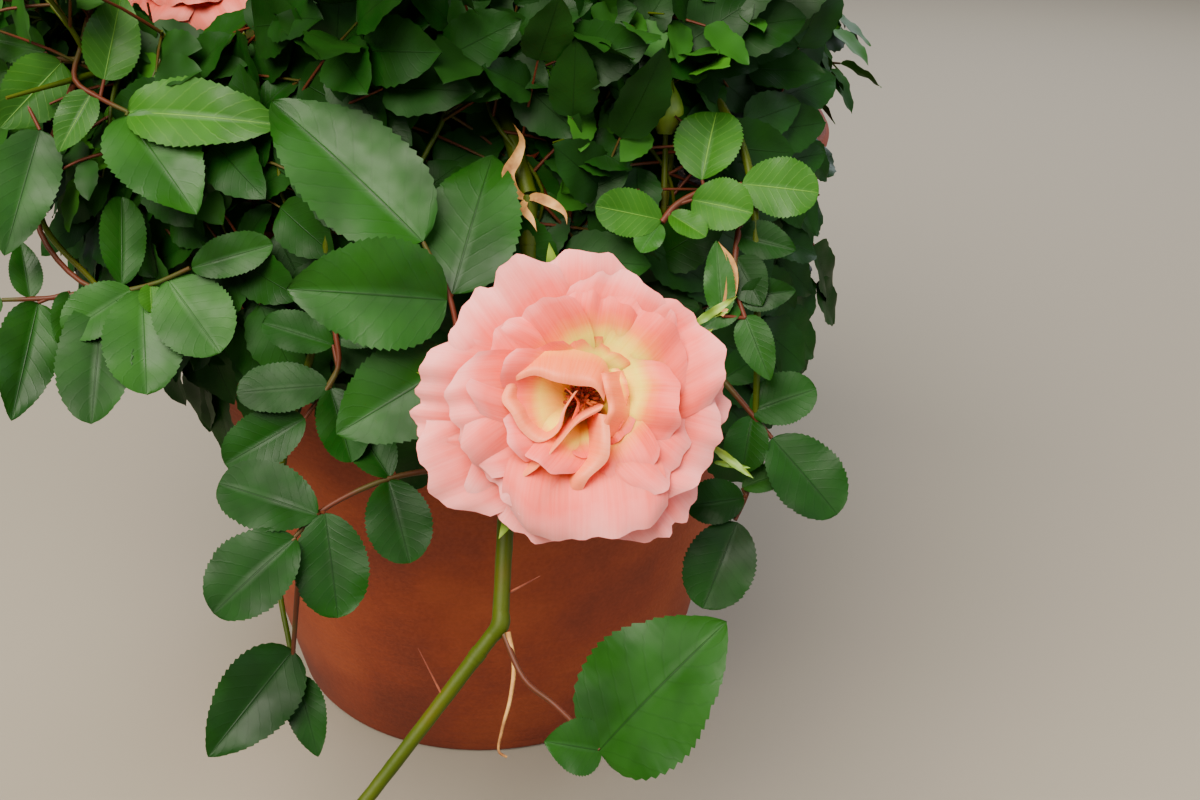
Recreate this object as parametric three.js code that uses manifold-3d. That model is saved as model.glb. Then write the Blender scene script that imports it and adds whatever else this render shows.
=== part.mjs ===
// Potted rose bush: a terracotta pot filled with soil, a short crown base, canes that fork from
// it, and masses of pinnate leaves with open blooms. Units are millimetres and +Z is up. The
// origin is the centre of the pot's flat underside, and the side that is seen first faces -Y.

import * as THREE from "three";
import { mergeVertices } from "three/addons/utils/BufferGeometryUtils.js";
import Module from "manifold-3d";

const wasm = await Module();
wasm.setup();

// Finish of fused solids: how far simplifying may move a surface, the least height of a
// triangle, and the longest edge that is closed up to be rid of a thinner one
const SIMPLIFY = 0.05;
const LEAST_HEIGHT = 0.03;
const SHORT_EDGE = 0.35;
const CLEAN_ROUNDS = 400;

// Pot
const POT_HEIGHT = 270;
const POT_BASE_RADIUS = 96;
const POT_BODY_RADIUS = 137;
const RIM_RADIUS = 152;
const RIM_HEIGHT = 45;
const RIM_STEP = 7.5;
const POT_WALL = 9;
const POT_FLOOR = 12;
const POT_SEGMENTS = 28;
const DRAIN_HOLES = 4;
const DRAIN_RADIUS = 6;
const DRAIN_CIRCLE = 46;
const DRAIN_SIDES = 10;

// Soil and the crown base that stands on it
const CLEARANCE = 0.3;
const SOIL_LEVEL = 243;
const SOIL_SINK = 5;
const BASE_HEIGHT = 52;
const BASE_RADIUS = 13;
const BASE_FLARE = 9;
const BASE_LEAN = 0.07;
const BASE_SIDES = 12;
const BASE_TOP = SOIL_LEVEL + BASE_HEIGHT;
const KNUCKLE_DROP = 16;
const KNUCKLE_EXIT = 24;

// Canes and twigs
const CANE_SIDES = 5;
const CANE_STEPS = 3;
const CANE_RADIUS = 4.6;
const CANE_TIP_RADIUS = 2.8;
const SHOOT_RADIUS = 3.4;
const SHOOT_TIP_RADIUS = 2.4;
const TWIG_SIDES = 3;
const STEM_RADIUS = 2.3;
const STEM_TIP_RADIUS = 1.5;
const TWIG_RADIUS = 1.7;
const TWIG_TIP_RADIUS = 1.2;

// Leaves: a stalk with pairs of leaflets and one at its tip
const LEAFLET_SHARE = 0.48;
const LEAFLET_WIDTH = 0.68;
const LEAFLET_THICKNESS = 0.036;
const LEAFLET_FOLD = 0.22;
const LEAFLET_SPREAD = THREE.MathUtils.degToRad(62);
const STALK_RADIUS = 1.25;
const STALK_TIP_RADIUS = 0.8;
const STALK_LENGTH = 1.45;
const LEAF_PAIRS = [0.25, 0.72];
const SHORT_LEAF_PAIRS = [0.6];
const FULL_LEAF_EVERY = 5;
const ROOM = 1.2;
const SIDE_TWIGS = 3;
const SIDE_TWIG_LENGTHS = [0.62, 0.4];
const LEAF_TRIES = 240;
const LEAF_DROOP = 0.35;
const GOLDEN_ANGLE = THREE.MathUtils.degToRad(137.5);

// Crown: one mass on top, a ring of upper masses and a ring of lower ones
const CROWN_X = -30;
const CROWN_Y = 2;
const CROWN_FOOT = SOIL_LEVEL + 60;
const TOP_MASS = { radius: 0, height: 490, reach: [92, 92, 85], leaves: 6 };
const UPPER_RING = { radius: 108, height: 408, reach: [88, 88, 80], leaves: 6 };
const LOWER_RING = { radius: 136, height: 312, reach: [70, 70, 66], leaves: 6 };
const CELL_MARGIN = 1.2;

// Blooms
const BLOOM_RADIUS = 46;
const SMALL_BLOOM_RADIUS = 30;
const PETAL_THICKNESS = 1.4;
const PETAL_NOTCH = 0.13;
const PETAL_WAVE = 0.05;
const BLOOM_SEGMENTS = 17;
const SMALL_BLOOM_SEGMENTS = 10;
const CALYX_DEPTH = 0.52;
const BUD_SIDES = 7;

const COLOURS = {
  terracotta: 0x8a3d24,
  soil: 0x3a2a20,
  bark: 0x6b5a32,
  cane: 0x5f8a2e,
  leaf: 0x2f6a2a,
  bloom: 0xf59c92,
  coral: 0xf7735c,
};

const X = new THREE.Vector3(1, 0, 0);
const UP = new THREE.Vector3(0, 0, 1);

function point(x, y, z) {
  return new THREE.Vector3(x, y, z);
}

function material(name, colour, roughness) {
  return new THREE.MeshStandardMaterial({ name, color: colour, roughness, metalness: 0 });
}

// A repeatable row of numbers from 0 to 1.
function seeded(seed) {
  let state = seed;
  return () => {
    state = (state * 1664525 + 1013904223) % 4294967296;
    return state / 4294967296;
  };
}

function solidFrom(geometry) {
  const plain = geometry.clone();
  plain.deleteAttribute("normal");
  plain.deleteAttribute("uv");
  const merged = mergeVertices(plain, 1e-4);
  return new wasm.Manifold(
    new wasm.Mesh({
      numProp: 3,
      vertProperties: merged.attributes.position.array,
      triVerts: new Uint32Array(merged.index.array),
    }),
  );
}

function solidFromLists(positions, faces) {
  const geometry = new THREE.BufferGeometry();
  geometry.setAttribute("position", new THREE.Float32BufferAttribute(positions, 3));
  geometry.setIndex(faces);
  return solidFrom(geometry);
}

function verticesOf(solid) {
  const mesh = solid.getMesh();
  const found = [];
  for (let i = 0; i < mesh.numVert; i += 1) {
    const at = i * mesh.numProp;
    found.push(point(...mesh.vertProperties.subarray(at, at + 3)));
  }
  return found;
}

// A triangle's height over its longest edge, that edge, and its shortest edge with its length.
function shapeOf(face, places) {
  const edges = face.map((from, k) => {
    const to = face[(k + 1) % 3];
    return { from, to, length: places[from].distanceTo(places[to]) };
  });
  edges.sort((a, b) => a.length - b.length);
  const normal = normalOf(face, places);
  return { height: normal.length() / edges[2].length, shortest: edges[0], longest: edges[2], normal };
}

function normalOf([a, b, c], places) {
  const across = places[b].clone().sub(places[a]);
  return across.cross(places[c].clone().sub(places[a]));
}

// The faces once the edge's end is drawn into its start, or null if that would pinch or fold.
function closedUp(faces, { from, to }, places) {
  const around = (vertex) => new Set(faces.filter((face) => face.includes(vertex)).flat());
  const nearTo = around(to);
  const shared = [...around(from)].filter((v) => v !== from && v !== to && nearTo.has(v));
  if (shared.length !== 2) {
    return null;
  }
  const moved = faces.map((face) => face.map((vertex) => (vertex === to ? from : vertex)));
  const folds = moved.some((face, k) => {
    if (!faces[k].includes(to) || new Set(face).size < 3) {
      return false;
    }
    const before = shapeOf(faces[k], places);
    return before.height > LEAST_HEIGHT && normalOf(face, places).dot(before.normal) <= 0;
  });
  return folds ? null : moved.filter((face) => new Set(face).size === 3);
}

// The faces once the two at an edge meet along their other diagonal, or null if they can't.
function turned(faces, { from, to }, places) {
  const sides = faces.filter((face) => face.includes(from) && face.includes(to));
  if (sides.length !== 2) {
    return null;
  }
  const runs = (face) => face[(face.indexOf(from) + 1) % 3] === to;
  const left = sides.find(runs);
  const right = sides.find((face) => face !== left);
  const c = left.find((vertex) => vertex !== from && vertex !== to);
  const d = right.find((vertex) => vertex !== from && vertex !== to);
  if (faces.some((face) => face.includes(c) && face.includes(d))) {
    return null;
  }
  const fresh = [[c, from, d], [c, d, to]];
  const least = (pair) => Math.min(...pair.map((face) => shapeOf(face, places).height));
  if (least(fresh) <= least(sides)) {
    return null;
  }
  return [...faces.filter((face) => !sides.includes(face)), ...fresh];
}

// A solid without slivers: short edges are closed up, and flat triangles turned.
function withoutSlivers(solid) {
  const places = verticesOf(solid);
  const indices = [...solid.getMesh().triVerts];
  let faces = places.length ? indices.flatMap((v, k) => (k % 3 ? [] : [indices.slice(k, k + 3)])) : [];
  for (let round = 0; round < CLEAN_ROUNDS; round += 1) {
    const thin = faces.map((face) => shapeOf(face, places)).filter((shape) => shape.height < LEAST_HEIGHT);
    thin.sort((a, b) => a.height - b.height);
    let next = null;
    for (const { shortest, longest } of thin) {
      const short = shortest.length < SHORT_EDGE;
      next = (short && closedUp(faces, shortest, places)) || turned(faces, longest, places);
      if (next) {
        break;
      }
    }
    if (!next) {
      break;
    }
    faces = next;
  }
  return solidFromLists(places.flatMap((place) => place.toArray()), faces.flat());
}

// The largest body of a fused solid, without slivers. Loose scraps are dropped.
function wholeBody(solid) {
  const bodies = withoutSlivers(solid.simplify(SIMPLIFY)).decompose();
  return bodies.reduce((a, b) => (b.volume() > a.volume() ? b : a));
}

function fuse(solids) {
  return wholeBody(solids.reduce((a, b) => a.add(b)));
}

function touches(a, b) {
  return !a.intersect(b).isEmpty();
}

function meshOf(name, solid, meshMaterial) {
  const made = solid.getMesh();
  const geometry = new THREE.BufferGeometry();
  geometry.setAttribute("position", new THREE.BufferAttribute(made.vertProperties, 3));
  geometry.setIndex(new THREE.BufferAttribute(made.triVerts, 1));
  geometry.computeVertexNormals();
  const mesh = new THREE.Mesh(geometry, meshMaterial);
  mesh.name = name;
  return mesh;
}

// Rings of vertices along a curve, closed by a flat face at each end. It tapers evenly, and a
// swell makes it that much thicker and longer, for cutting its shoots clear of it.
function limb(points, startRadius, endRadius, sides, steps, swell = 0) {
  const path = points.map((place) => place.clone());
  const first = points[0].clone().sub(points[1]).setLength(swell);
  const end = points[points.length - 1].clone().sub(points[points.length - 2]).setLength(swell);
  path[0].add(first);
  path[path.length - 1].add(end);
  const curve = new THREE.CatmullRomCurve3(path, false, "centripetal");
  const frames = curve.computeFrenetFrames(steps, false);
  const positions = [];
  const faces = [];
  for (let i = 0; i <= steps; i += 1) {
    const centre = curve.getPointAt(i / steps);
    const radius = THREE.MathUtils.lerp(startRadius, endRadius, i / steps) + swell;
    for (let j = 0; j < sides; j += 1) {
      const turn = (2 * Math.PI * j) / sides;
      const vertex = centre.clone();
      vertex.addScaledVector(frames.normals[i], radius * Math.cos(turn));
      vertex.addScaledVector(frames.binormals[i], radius * Math.sin(turn));
      positions.push(...vertex.toArray());
    }
  }
  for (let i = 0; i < steps; i += 1) {
    for (let j = 0; j < sides; j += 1) {
      const a = i * sides + j;
      const b = i * sides + ((j + 1) % sides);
      faces.push(a, b, b + sides, a, b + sides, a + sides);
    }
  }
  const last = steps * sides;
  for (let j = 1; j < sides - 1; j += 1) {
    faces.push(0, j + 1, j, last, last + j, last + j + 1);
  }
  return solidFromLists(positions, faces);
}

// One folded leaflet of ten faces: a crease along its back and one high point on its front.
function leaflet(root, tip, facing, swell) {
  const along = tip.clone().sub(root);
  const length = along.length() + swell;
  along.normalize();
  const side = facing.clone().cross(along).normalize();
  const front = along.clone().cross(side);
  const half = 0.5 * LEAFLET_WIDTH * length + swell;
  const thick = LEAFLET_THICKNESS * length;
  const place = (x, y, z) =>
    root.clone().addScaledVector(along, x).addScaledVector(side, y).addScaledVector(front, z);
  const lift = LEAFLET_FOLD * half;
  const corners = [
    place(-0.5 * swell, 0, -swell),
    place(0.3 * length, half, lift - swell),
    place(0.7 * length, 0.8 * half, 0.8 * lift - swell),
    place(length, 0, -swell),
    place(0.7 * length, -0.8 * half, 0.8 * lift - swell),
    place(0.3 * length, -half, lift - swell),
    place(0.42 * length, 0, thick + 2 * swell),
  ];
  const faces = [6, 1, 0, 6, 2, 1, 6, 3, 2, 6, 4, 3, 6, 5, 4, 6, 0, 5];
  faces.push(0, 1, 2, 0, 2, 3, 0, 3, 4, 0, 4, 5);
  return solidFromLists(corners.flatMap((corner) => corner.toArray()), faces);
}

// A pinnate leaf: from is the root of its stalk, to the root of the leaflet at its tip, and tip
// that leaflet's own tip. The pairs stand on the stalk at the given shares of its length.
function pinnateLeaf({ from, to, tip, facing, pairs, size }, swell) {
  const run = to.clone().sub(from);
  const heading = run.clone().normalize();
  const end = to.clone().addScaledVector(heading, 1.5);
  const pieces = [
    limb([from, end], STALK_RADIUS, STALK_TIP_RADIUS, TWIG_SIDES, 1, swell),
    leaflet(to, tip, facing, swell),
  ];
  const side = facing.clone().cross(heading).normalize();
  for (const share of pairs) {
    const root = from.clone().addScaledVector(run, share);
    for (const hand of [-1, 1]) {
      const way = heading.clone().multiplyScalar(Math.cos(LEAFLET_SPREAD));
      way.addScaledVector(side, hand * Math.sin(LEAFLET_SPREAD));
      const leafletTip = root.clone().addScaledVector(way, size * (0.8 + 0.12 * share));
      pieces.push(leaflet(root, leafletTip, facing, swell));
    }
  }
  return pieces.reduce((a, b) => a.add(b));
}

// The matrix that stands local +Z along a direction at a place.
function standing(place, direction) {
  const turn = new THREE.Quaternion().setFromUnitVectors(UP, direction.clone().normalize());
  return new THREE.Matrix4().compose(place, turn, new THREE.Vector3(1, 1, 1));
}

// Whorls from the outside in, as shares of the bloom's radius: how far out and how high the
// petals' rim is, and how far out and how high they spring from the bloom's middle. Then come
// the number of lobes and a turn that sets each whorl's lobes over the gaps of the next.
const OPEN_WHORLS = [
  { rim: [1, -0.06], root: [0.34, -0.18], lobes: 6, turn: 0.2 },
  { rim: [0.84, 0.12], root: [0.28, -0.11], lobes: 6, turn: 0.9 },
  { rim: [0.65, 0.24], root: [0.22, -0.07], lobes: 5, turn: 1.3 },
  { rim: [0.46, 0.3], root: [0.16, 0.02], lobes: 5, turn: 0.4 },
  { rim: [0.27, 0.33], root: [0.08, 0.08], lobes: 4, turn: 1 },
];
const SMALL_WHORLS = [
  { rim: [1, -0.02], root: [0.32, -0.22], lobes: 5, turn: 0.2 },
  { rim: [0.72, 0.26], root: [0.22, -0.08], lobes: 5, turn: 0.9 },
  { rim: [0.4, 0.4], root: [0.1, 0.06], lobes: 4, turn: 0.3 },
];
const CALYX = [[0.1, -0.48], [0.17, -0.37], [0.13, -0.28]];

// One closed surface that turns round the bloom's axis: up the back of each whorl, over its
// waved and lobed rim, and down its front to the root of the next.
function bloomBody(radius, whorls, segments) {
  const even = { lobes: 1, turn: 0, weight: 0 };
  const profile = CALYX.map(([r, z]) => ({ r, z, ...even }));
  for (const { rim, root, lobes, turn } of whorls) {
    const thick = PETAL_THICKNESS / radius;
    const middle = { r: 0.6 * rim[0] + 0.12, z: 0.62 * rim[1] + 0.38 * root[1] - 0.03 };
    profile.push({ ...middle, lobes, turn, weight: 0.5 });
    profile.push({ r: rim[0], z: rim[1] - 0.5 * thick, lobes, turn, weight: 1 });
    profile.push({ r: rim[0] - 0.6 * thick, z: rim[1] + 0.5 * thick, lobes, turn, weight: 1 });
    profile.push({ r: middle.r - 0.5 * thick, z: middle.z + thick, lobes, turn, weight: 0.5 });
    profile.push({ r: root[0], z: root[1], ...even });
  }
  const positions = [0, 0, -CALYX_DEPTH * radius];
  for (const { r, z, lobes, turn, weight } of profile) {
    for (let j = 0; j < segments; j += 1) {
      const angle = (2 * Math.PI * j) / segments;
      const lobe = Math.abs(Math.sin(0.5 * lobes * angle + turn));
      const reach = radius * r * (1 - PETAL_NOTCH * weight * (1 - lobe));
      const wave = PETAL_WAVE * weight * Math.cos(lobes * angle + 2 * turn);
      positions.push(reach * Math.cos(angle), reach * Math.sin(angle), radius * (z + wave));
    }
  }
  const centre = 1 + profile.length * segments;
  positions.push(0, 0, radius * profile[profile.length - 1].z);
  const faces = [];
  const at = (ring, j) => 1 + ring * segments + (j % segments);
  for (let j = 0; j < segments; j += 1) {
    faces.push(0, at(0, j + 1), at(0, j));
    for (let ring = 0; ring < profile.length - 1; ring += 1) {
      faces.push(at(ring, j), at(ring, j + 1), at(ring + 1, j + 1));
      faces.push(at(ring, j), at(ring + 1, j + 1), at(ring + 1, j));
    }
    faces.push(centre, at(profile.length - 1, j), at(profile.length - 1, j + 1));
  }
  return solidFromLists(positions, faces);
}

function smallBloom(place, direction, radius) {
  const body = bloomBody(radius, SMALL_WHORLS, SMALL_BLOOM_SEGMENTS);
  return [body.transform(standing(place, direction).elements)];
}

function largeBloom(place, direction, radius) {
  const body = bloomBody(radius, OPEN_WHORLS, BLOOM_SEGMENTS);
  return [body.transform(standing(place, direction).elements)];
}

function potProfile() {
  const bodyTop = POT_HEIGHT - RIM_HEIGHT;
  const inner = (z) => {
    const share = z / bodyTop;
    return THREE.MathUtils.lerp(POT_BASE_RADIUS, POT_BODY_RADIUS, share) - POT_WALL;
  };
  return [
    [0, 0],
    [POT_BASE_RADIUS - 3, 0],
    [POT_BASE_RADIUS, 3],
    [POT_BODY_RADIUS - 0.5, bodyTop - 5],
    [POT_BODY_RADIUS + 1, bodyTop - 1],
    [POT_BODY_RADIUS + RIM_STEP, bodyTop + 1],
    [RIM_RADIUS - 1, POT_HEIGHT - 6],
    [RIM_RADIUS, POT_HEIGHT - 3],
    [RIM_RADIUS - 2.5, POT_HEIGHT],
    [inner(POT_HEIGHT) + 2, POT_HEIGHT],
    [inner(POT_HEIGHT) - 0.5, POT_HEIGHT - 4],
    [inner(POT_FLOOR), POT_FLOOR],
    [0, POT_FLOOR],
  ];
}

function lathe(profile, segments) {
  const points = profile.map(([r, z]) => new THREE.Vector2(r, z));
  return solidFrom(new THREE.LatheGeometry(points, segments).rotateX(Math.PI / 2));
}

function potSolid() {
  let pot = lathe(potProfile(), POT_SEGMENTS);
  for (let i = 0; i < DRAIN_HOLES; i += 1) {
    const angle = (2 * Math.PI * (i + 0.5)) / DRAIN_HOLES;
    const length = 3 * POT_FLOOR;
    const drill = new THREE.CylinderGeometry(DRAIN_RADIUS, DRAIN_RADIUS, length, DRAIN_SIDES);
    drill.rotateX(Math.PI / 2);
    drill.translate(DRAIN_CIRCLE * Math.cos(angle), DRAIN_CIRCLE * Math.sin(angle), 0);
    pot = pot.subtract(solidFrom(drill));
  }
  return pot;
}

// The soil fills the pot to a little under the rim and sinks towards the wall.
function soilSolid() {
  const slope = (POT_BODY_RADIUS - POT_BASE_RADIUS) / (POT_HEIGHT - RIM_HEIGHT);
  const wallAt = (z) => POT_BASE_RADIUS + slope * z - POT_WALL - 2 * CLEARANCE;
  const foot = POT_FLOOR + CLEARANCE;
  const edge = SOIL_LEVEL - SOIL_SINK;
  return lathe(
    [
      [0, foot],
      [wallAt(foot), foot],
      [wallAt(edge), edge],
      [0.7 * wallAt(edge), SOIL_LEVEL - 1],
      [2.2 * BASE_RADIUS, SOIL_LEVEL],
      [0, SOIL_LEVEL],
    ],
    POT_SEGMENTS / 2,
  );
}

// The short stem at soil level, with its root flare, knuckle and lean. The swell is added all
// round, for cutting the canes clear of it.
function baseSolid(swell) {
  const profile = [
    [0, -swell],
    [BASE_RADIUS + BASE_FLARE + swell, -swell],
    [BASE_RADIUS + 0.35 * BASE_FLARE + swell, 7],
    [BASE_RADIUS + swell, 20],
    [BASE_RADIUS + 3.5 + swell, 34],
    [BASE_RADIUS + 1 + swell, 0.85 * BASE_HEIGHT],
    [0.55 * BASE_RADIUS, BASE_HEIGHT + swell],
    [0, BASE_HEIGHT + swell],
  ];
  const lean = new THREE.Matrix4().makeShear(0, 0, 0, 0, -BASE_LEAN, -0.6 * BASE_LEAN);
  const place = new THREE.Matrix4().makeTranslation(0, 0, SOIL_LEVEL + CLEARANCE);
  return lathe(profile, BASE_SIDES).transform(place.multiply(lean).elements);
}

// Each mass stands at an azimuth of its ring, and its shoot or cane enters it from the foot.
function massAt(name, ring, azimuth, seed, extra = {}) {
  const angle = THREE.MathUtils.degToRad(azimuth);
  const centre = point(
    CROWN_X + ring.radius * Math.cos(angle),
    CROWN_Y + ring.radius * Math.sin(angle),
    ring.height,
  );
  const outward = centre.clone().sub(point(0.5 * CROWN_X, 0, CROWN_FOOT)).normalize();
  const reach = point(...ring.reach);
  const entry = centre.clone().sub(outward.clone().multiply(reach).multiplyScalar(0.6));
  return { name, centre, reach, seed, outward, entry, leaves: ring.leaves, ...extra };
}

const MASSES = [
  massAt("leaves_top", TOP_MASS, 0, 11, { bloom: SMALL_BLOOM_RADIUS }),
  massAt("leaves_upper_front", UPPER_RING, 268, 21),
  massAt("leaves_upper_right_front", UPPER_RING, 326, 22),
  massAt("leaves_upper_right_back", UPPER_RING, 28, 23, { bloom: SMALL_BLOOM_RADIUS }),
  massAt("leaves_upper_back", UPPER_RING, 88, 24),
  massAt("leaves_upper_left_back", UPPER_RING, 148, 25, { bloom: SMALL_BLOOM_RADIUS }),
  massAt("leaves_upper_left_front", UPPER_RING, 208, 26),
  massAt("leaves_lower_front_left", LOWER_RING, 236, 31),
  massAt("leaves_lower_front_right", LOWER_RING, 306, 32),
  massAt("leaves_lower_right", LOWER_RING, 350, 33),
  massAt("leaves_lower_right_back", LOWER_RING, 42, 34),
  massAt("leaves_lower_back", LOWER_RING, 92, 35),
  massAt("leaves_lower_left_back", LOWER_RING, 140, 36),
  massAt("leaves_lower_left", LOWER_RING, 184, 37),
];

function insideSpace(mass, places) {
  return places.every((place) => {
    const offset = place.clone().sub(mass.centre);
    if (offset.clone().divide(mass.reach).lengthSq() > 1) {
      return false;
    }
    return MASSES.every((other) => {
      if (other === mass) {
        return true;
      }
      const across = other.centre.clone().sub(mass.centre);
      const middle = across.length() / 2 - CELL_MARGIN;
      return offset.dot(across.normalize()) < middle;
    });
  });
}

// Bodies in the way of new growth, each with its box so that far ones are passed over quickly.
class Neighbours {
  constructor() {
    this.held = [];
  }

  add(solid) {
    this.held.push({ solid, box: solid.boundingBox() });
  }

  clearOf(solid) {
    const box = solid.boundingBox();
    return !this.held.some(
      (other) =>
        [0, 1, 2].every((k) => box.min[k] < other.box.max[k] && other.box.min[k] < box.max[k]) &&
        touches(solid, other.solid),
    );
  }
}

// A share of a path of places, with the way it runs there.
function alongPath(points, share) {
  const curve = new THREE.CatmullRomCurve3(points, false, "centripetal");
  return { place: curve.getPointAt(share), way: curve.getTangentAt(share) };
}

// The twigs of a mass: the stem that enters it, and side twigs at the golden angle round it.
function massTwigs(mass, random, blocked) {
  const far = mass.centre.clone().add(mass.outward.clone().multiply(mass.reach).multiplyScalar(0.66));
  const bend = mass.entry.clone().lerp(far, 0.5).add(point(0, 0, 0.06 * mass.reach.z));
  const stem = [mass.entry, bend, far];
  const twigs = [stem];
  const solids = [limb(stem, STEM_RADIUS, STEM_TIP_RADIUS, TWIG_SIDES, 3)];
  for (let i = 0; i < SIDE_TWIGS; i += 1) {
    const { place, way } = alongPath(stem, 0.28 + (0.6 * i) / SIDE_TWIGS);
    const spin = GOLDEN_ANGLE * i + 2 * Math.PI * random();
    const out = way.clone().cross(X).normalize().applyAxisAngle(way, spin);
    const heading = out.multiplyScalar(0.85).addScaledVector(way, 0.5).normalize();
    for (const length of SIDE_TWIG_LENGTHS) {
      const tip = place.clone().addScaledVector(heading, length * mass.reach.x);
      const knee = place.clone().lerp(tip, 0.5).add(point(0, 0, -0.03 * mass.reach.z));
      const path = [place, knee, tip];
      const twig = limb(path, TWIG_RADIUS, TWIG_TIP_RADIUS, TWIG_SIDES, 2);
      if (insideSpace(mass, verticesOf(twig)) && blocked.clearOf(twig)) {
        twigs.push(path);
        solids.push(twig);
        break;
      }
    }
  }
  return { twigs, solids };
}

// Leaves are tried along the twigs in turn. One that would leave the mass's space, or touch a
// limb, a neighbour or an earlier leaf, is skipped.
function growMass(mass, blocked) {
  const random = seeded(mass.seed);
  const { twigs, solids } = massTwigs(mass, random, blocked);
  const leaves = new Neighbours();
  if (mass.bloom) {
    const { place } = alongPath(twigs[0], 1);
    const facing = mass.outward.clone().add(point(0, 0, 0.6));
    const seat = place.clone().addScaledVector(facing.clone().normalize(), 0.42 * mass.bloom);
    const bloom = fuse(smallBloom(seat, facing, mass.bloom));
    solids.push(bloom);
    leaves.add(bloom);
  }
  let grown = 0;
  for (let i = 0; i < LEAF_TRIES && grown < mass.leaves; i += 1) {
    const { place, way } = alongPath(twigs[i % twigs.length], 0.15 + 0.85 * random());
    const out = way.clone().cross(X).normalize().applyAxisAngle(way, GOLDEN_ANGLE * i);
    const heading = out.multiplyScalar(0.9).addScaledVector(way, 0.5);
    heading.addScaledVector(mass.outward, 0.6).normalize();
    const size = LEAFLET_SHARE * mass.reach.z * (0.85 + 0.3 * random());
    const to = place.clone().addScaledVector(heading, STALK_LENGTH * size);
    const droop = heading.clone().add(point(0, 0, -LEAF_DROOP * random())).normalize();
    const facing = UP.clone().multiplyScalar(0.6).addScaledVector(mass.outward, 1.3);
    facing.add(point(random() - 0.5, random() - 0.5, 0));
    const tip = to.clone().addScaledVector(droop, size);
    const pairs = grown % FULL_LEAF_EVERY ? SHORT_LEAF_PAIRS : LEAF_PAIRS;
    const leaf = { from: place, to, tip, facing, pairs, size };
    const solid = pinnateLeaf(leaf, 0);
    if (!insideSpace(mass, verticesOf(solid))) {
      continue;
    }
    const room = pinnateLeaf(leaf, ROOM);
    if (!blocked.clearOf(room) || !leaves.clearOf(room)) {
      continue;
    }
    leaves.add(solid);
    solids.push(solid);
    grown += 1;
  }
  const cut = solids.reduce((a, b) => a.add(b)).subtract(caneSolid(carrierOf(mass), CLEARANCE));
  return wholeBody(cut);
}

// Canes run from inside the crown base to the mass at their tip.
function caneTo(name, mass) {
  const end = mass.entry;
  const start = point(-2, 1, BASE_TOP - KNUCKLE_DROP);
  const out = point(end.x - start.x, end.y - start.y, 0);
  const exit = start.clone().addScaledVector(out.clone().normalize(), KNUCKLE_EXIT);
  exit.z += 0.6 * KNUCKLE_DROP;
  const knee = start.clone().addScaledVector(out, 0.55).setZ(start.z + 0.55 * (end.z - start.z));
  const radii = [CANE_RADIUS, CANE_TIP_RADIUS];
  return { name, points: [start, exit, knee, end], radii, parent: null };
}

// The cane in the middle goes straight up out of the knuckle's top.
function middleCane(name, mass) {
  const start = point(-1, 0, BASE_TOP - KNUCKLE_DROP);
  const knee = point(-8, 3, BASE_TOP + 60);
  const radii = [CANE_RADIUS, CANE_TIP_RADIUS];
  return { name, points: [start, knee, mass.entry], radii, parent: null };
}

// A side shoot leaves a cane at a share of its length and bows up on its way.
function shootTo(name, parent, share, end) {
  const { place } = alongPath(parent.points, share);
  const knee = place.clone().lerp(end, 0.5).add(point(0, 0, 0.1 * place.distanceTo(end)));
  return { name, points: [place, knee, end], radii: [SHOOT_RADIUS, SHOOT_TIP_RADIUS], parent };
}

function caneSolid(cane, swell = 0) {
  return limb(cane.points, cane.radii[0], cane.radii[1], CANE_SIDES, CANE_STEPS, swell);
}

const massNamed = (name) => MASSES.find((mass) => mass.name === name);

const CANES = [
  middleCane("cane_top", massNamed("leaves_top")),
  caneTo("cane_upper_front", massNamed("leaves_upper_front")),
  caneTo("cane_upper_right_front", massNamed("leaves_upper_right_front")),
  caneTo("cane_upper_right_back", massNamed("leaves_upper_right_back")),
  caneTo("cane_upper_back", massNamed("leaves_upper_back")),
  caneTo("cane_upper_left_back", massNamed("leaves_upper_left_back")),
  caneTo("cane_upper_left_front", massNamed("leaves_upper_left_front")),
];

// The hanging cane in front passes over the rim and down before the pot, in three lengths.
const RIM_PASS = point(32, -158, 286);
const HANGING_NODE = point(22.9, -222.4, 163.7);
const HANGING_CANE = [
  {
    name: "hanging_cane_rise",
    points: [
      point(0, -4, 264),
      point(1, -30, 272),
      point(8, -84, 296),
      point(22, -132, 308),
      RIM_PASS,
    ],
    radii: [4.4, 3.7],
    parent: null,
  },
  {
    name: "hanging_cane_fall",
    points: [RIM_PASS, point(31, -172, 255), point(25.5, -189, 208), HANGING_NODE],
    radii: [3.7, 3.4],
  },
  {
    name: "hanging_cane_tip",
    points: [HANGING_NODE, point(-17.3, -254.9, 122.1), point(-52, -288, 92)],
    radii: [3.3, 2.2],
  },
];
HANGING_CANE[1].parent = HANGING_CANE[0];
HANGING_CANE[2].parent = HANGING_CANE[1];

const SHOOTS = [];

// The limb with a given name, among those made so far.
const limbNamed = (name) => [...CANES, ...SHOOTS].find((cane) => cane.name === name);
const entryOf = (name) => massNamed(name).entry;

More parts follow.
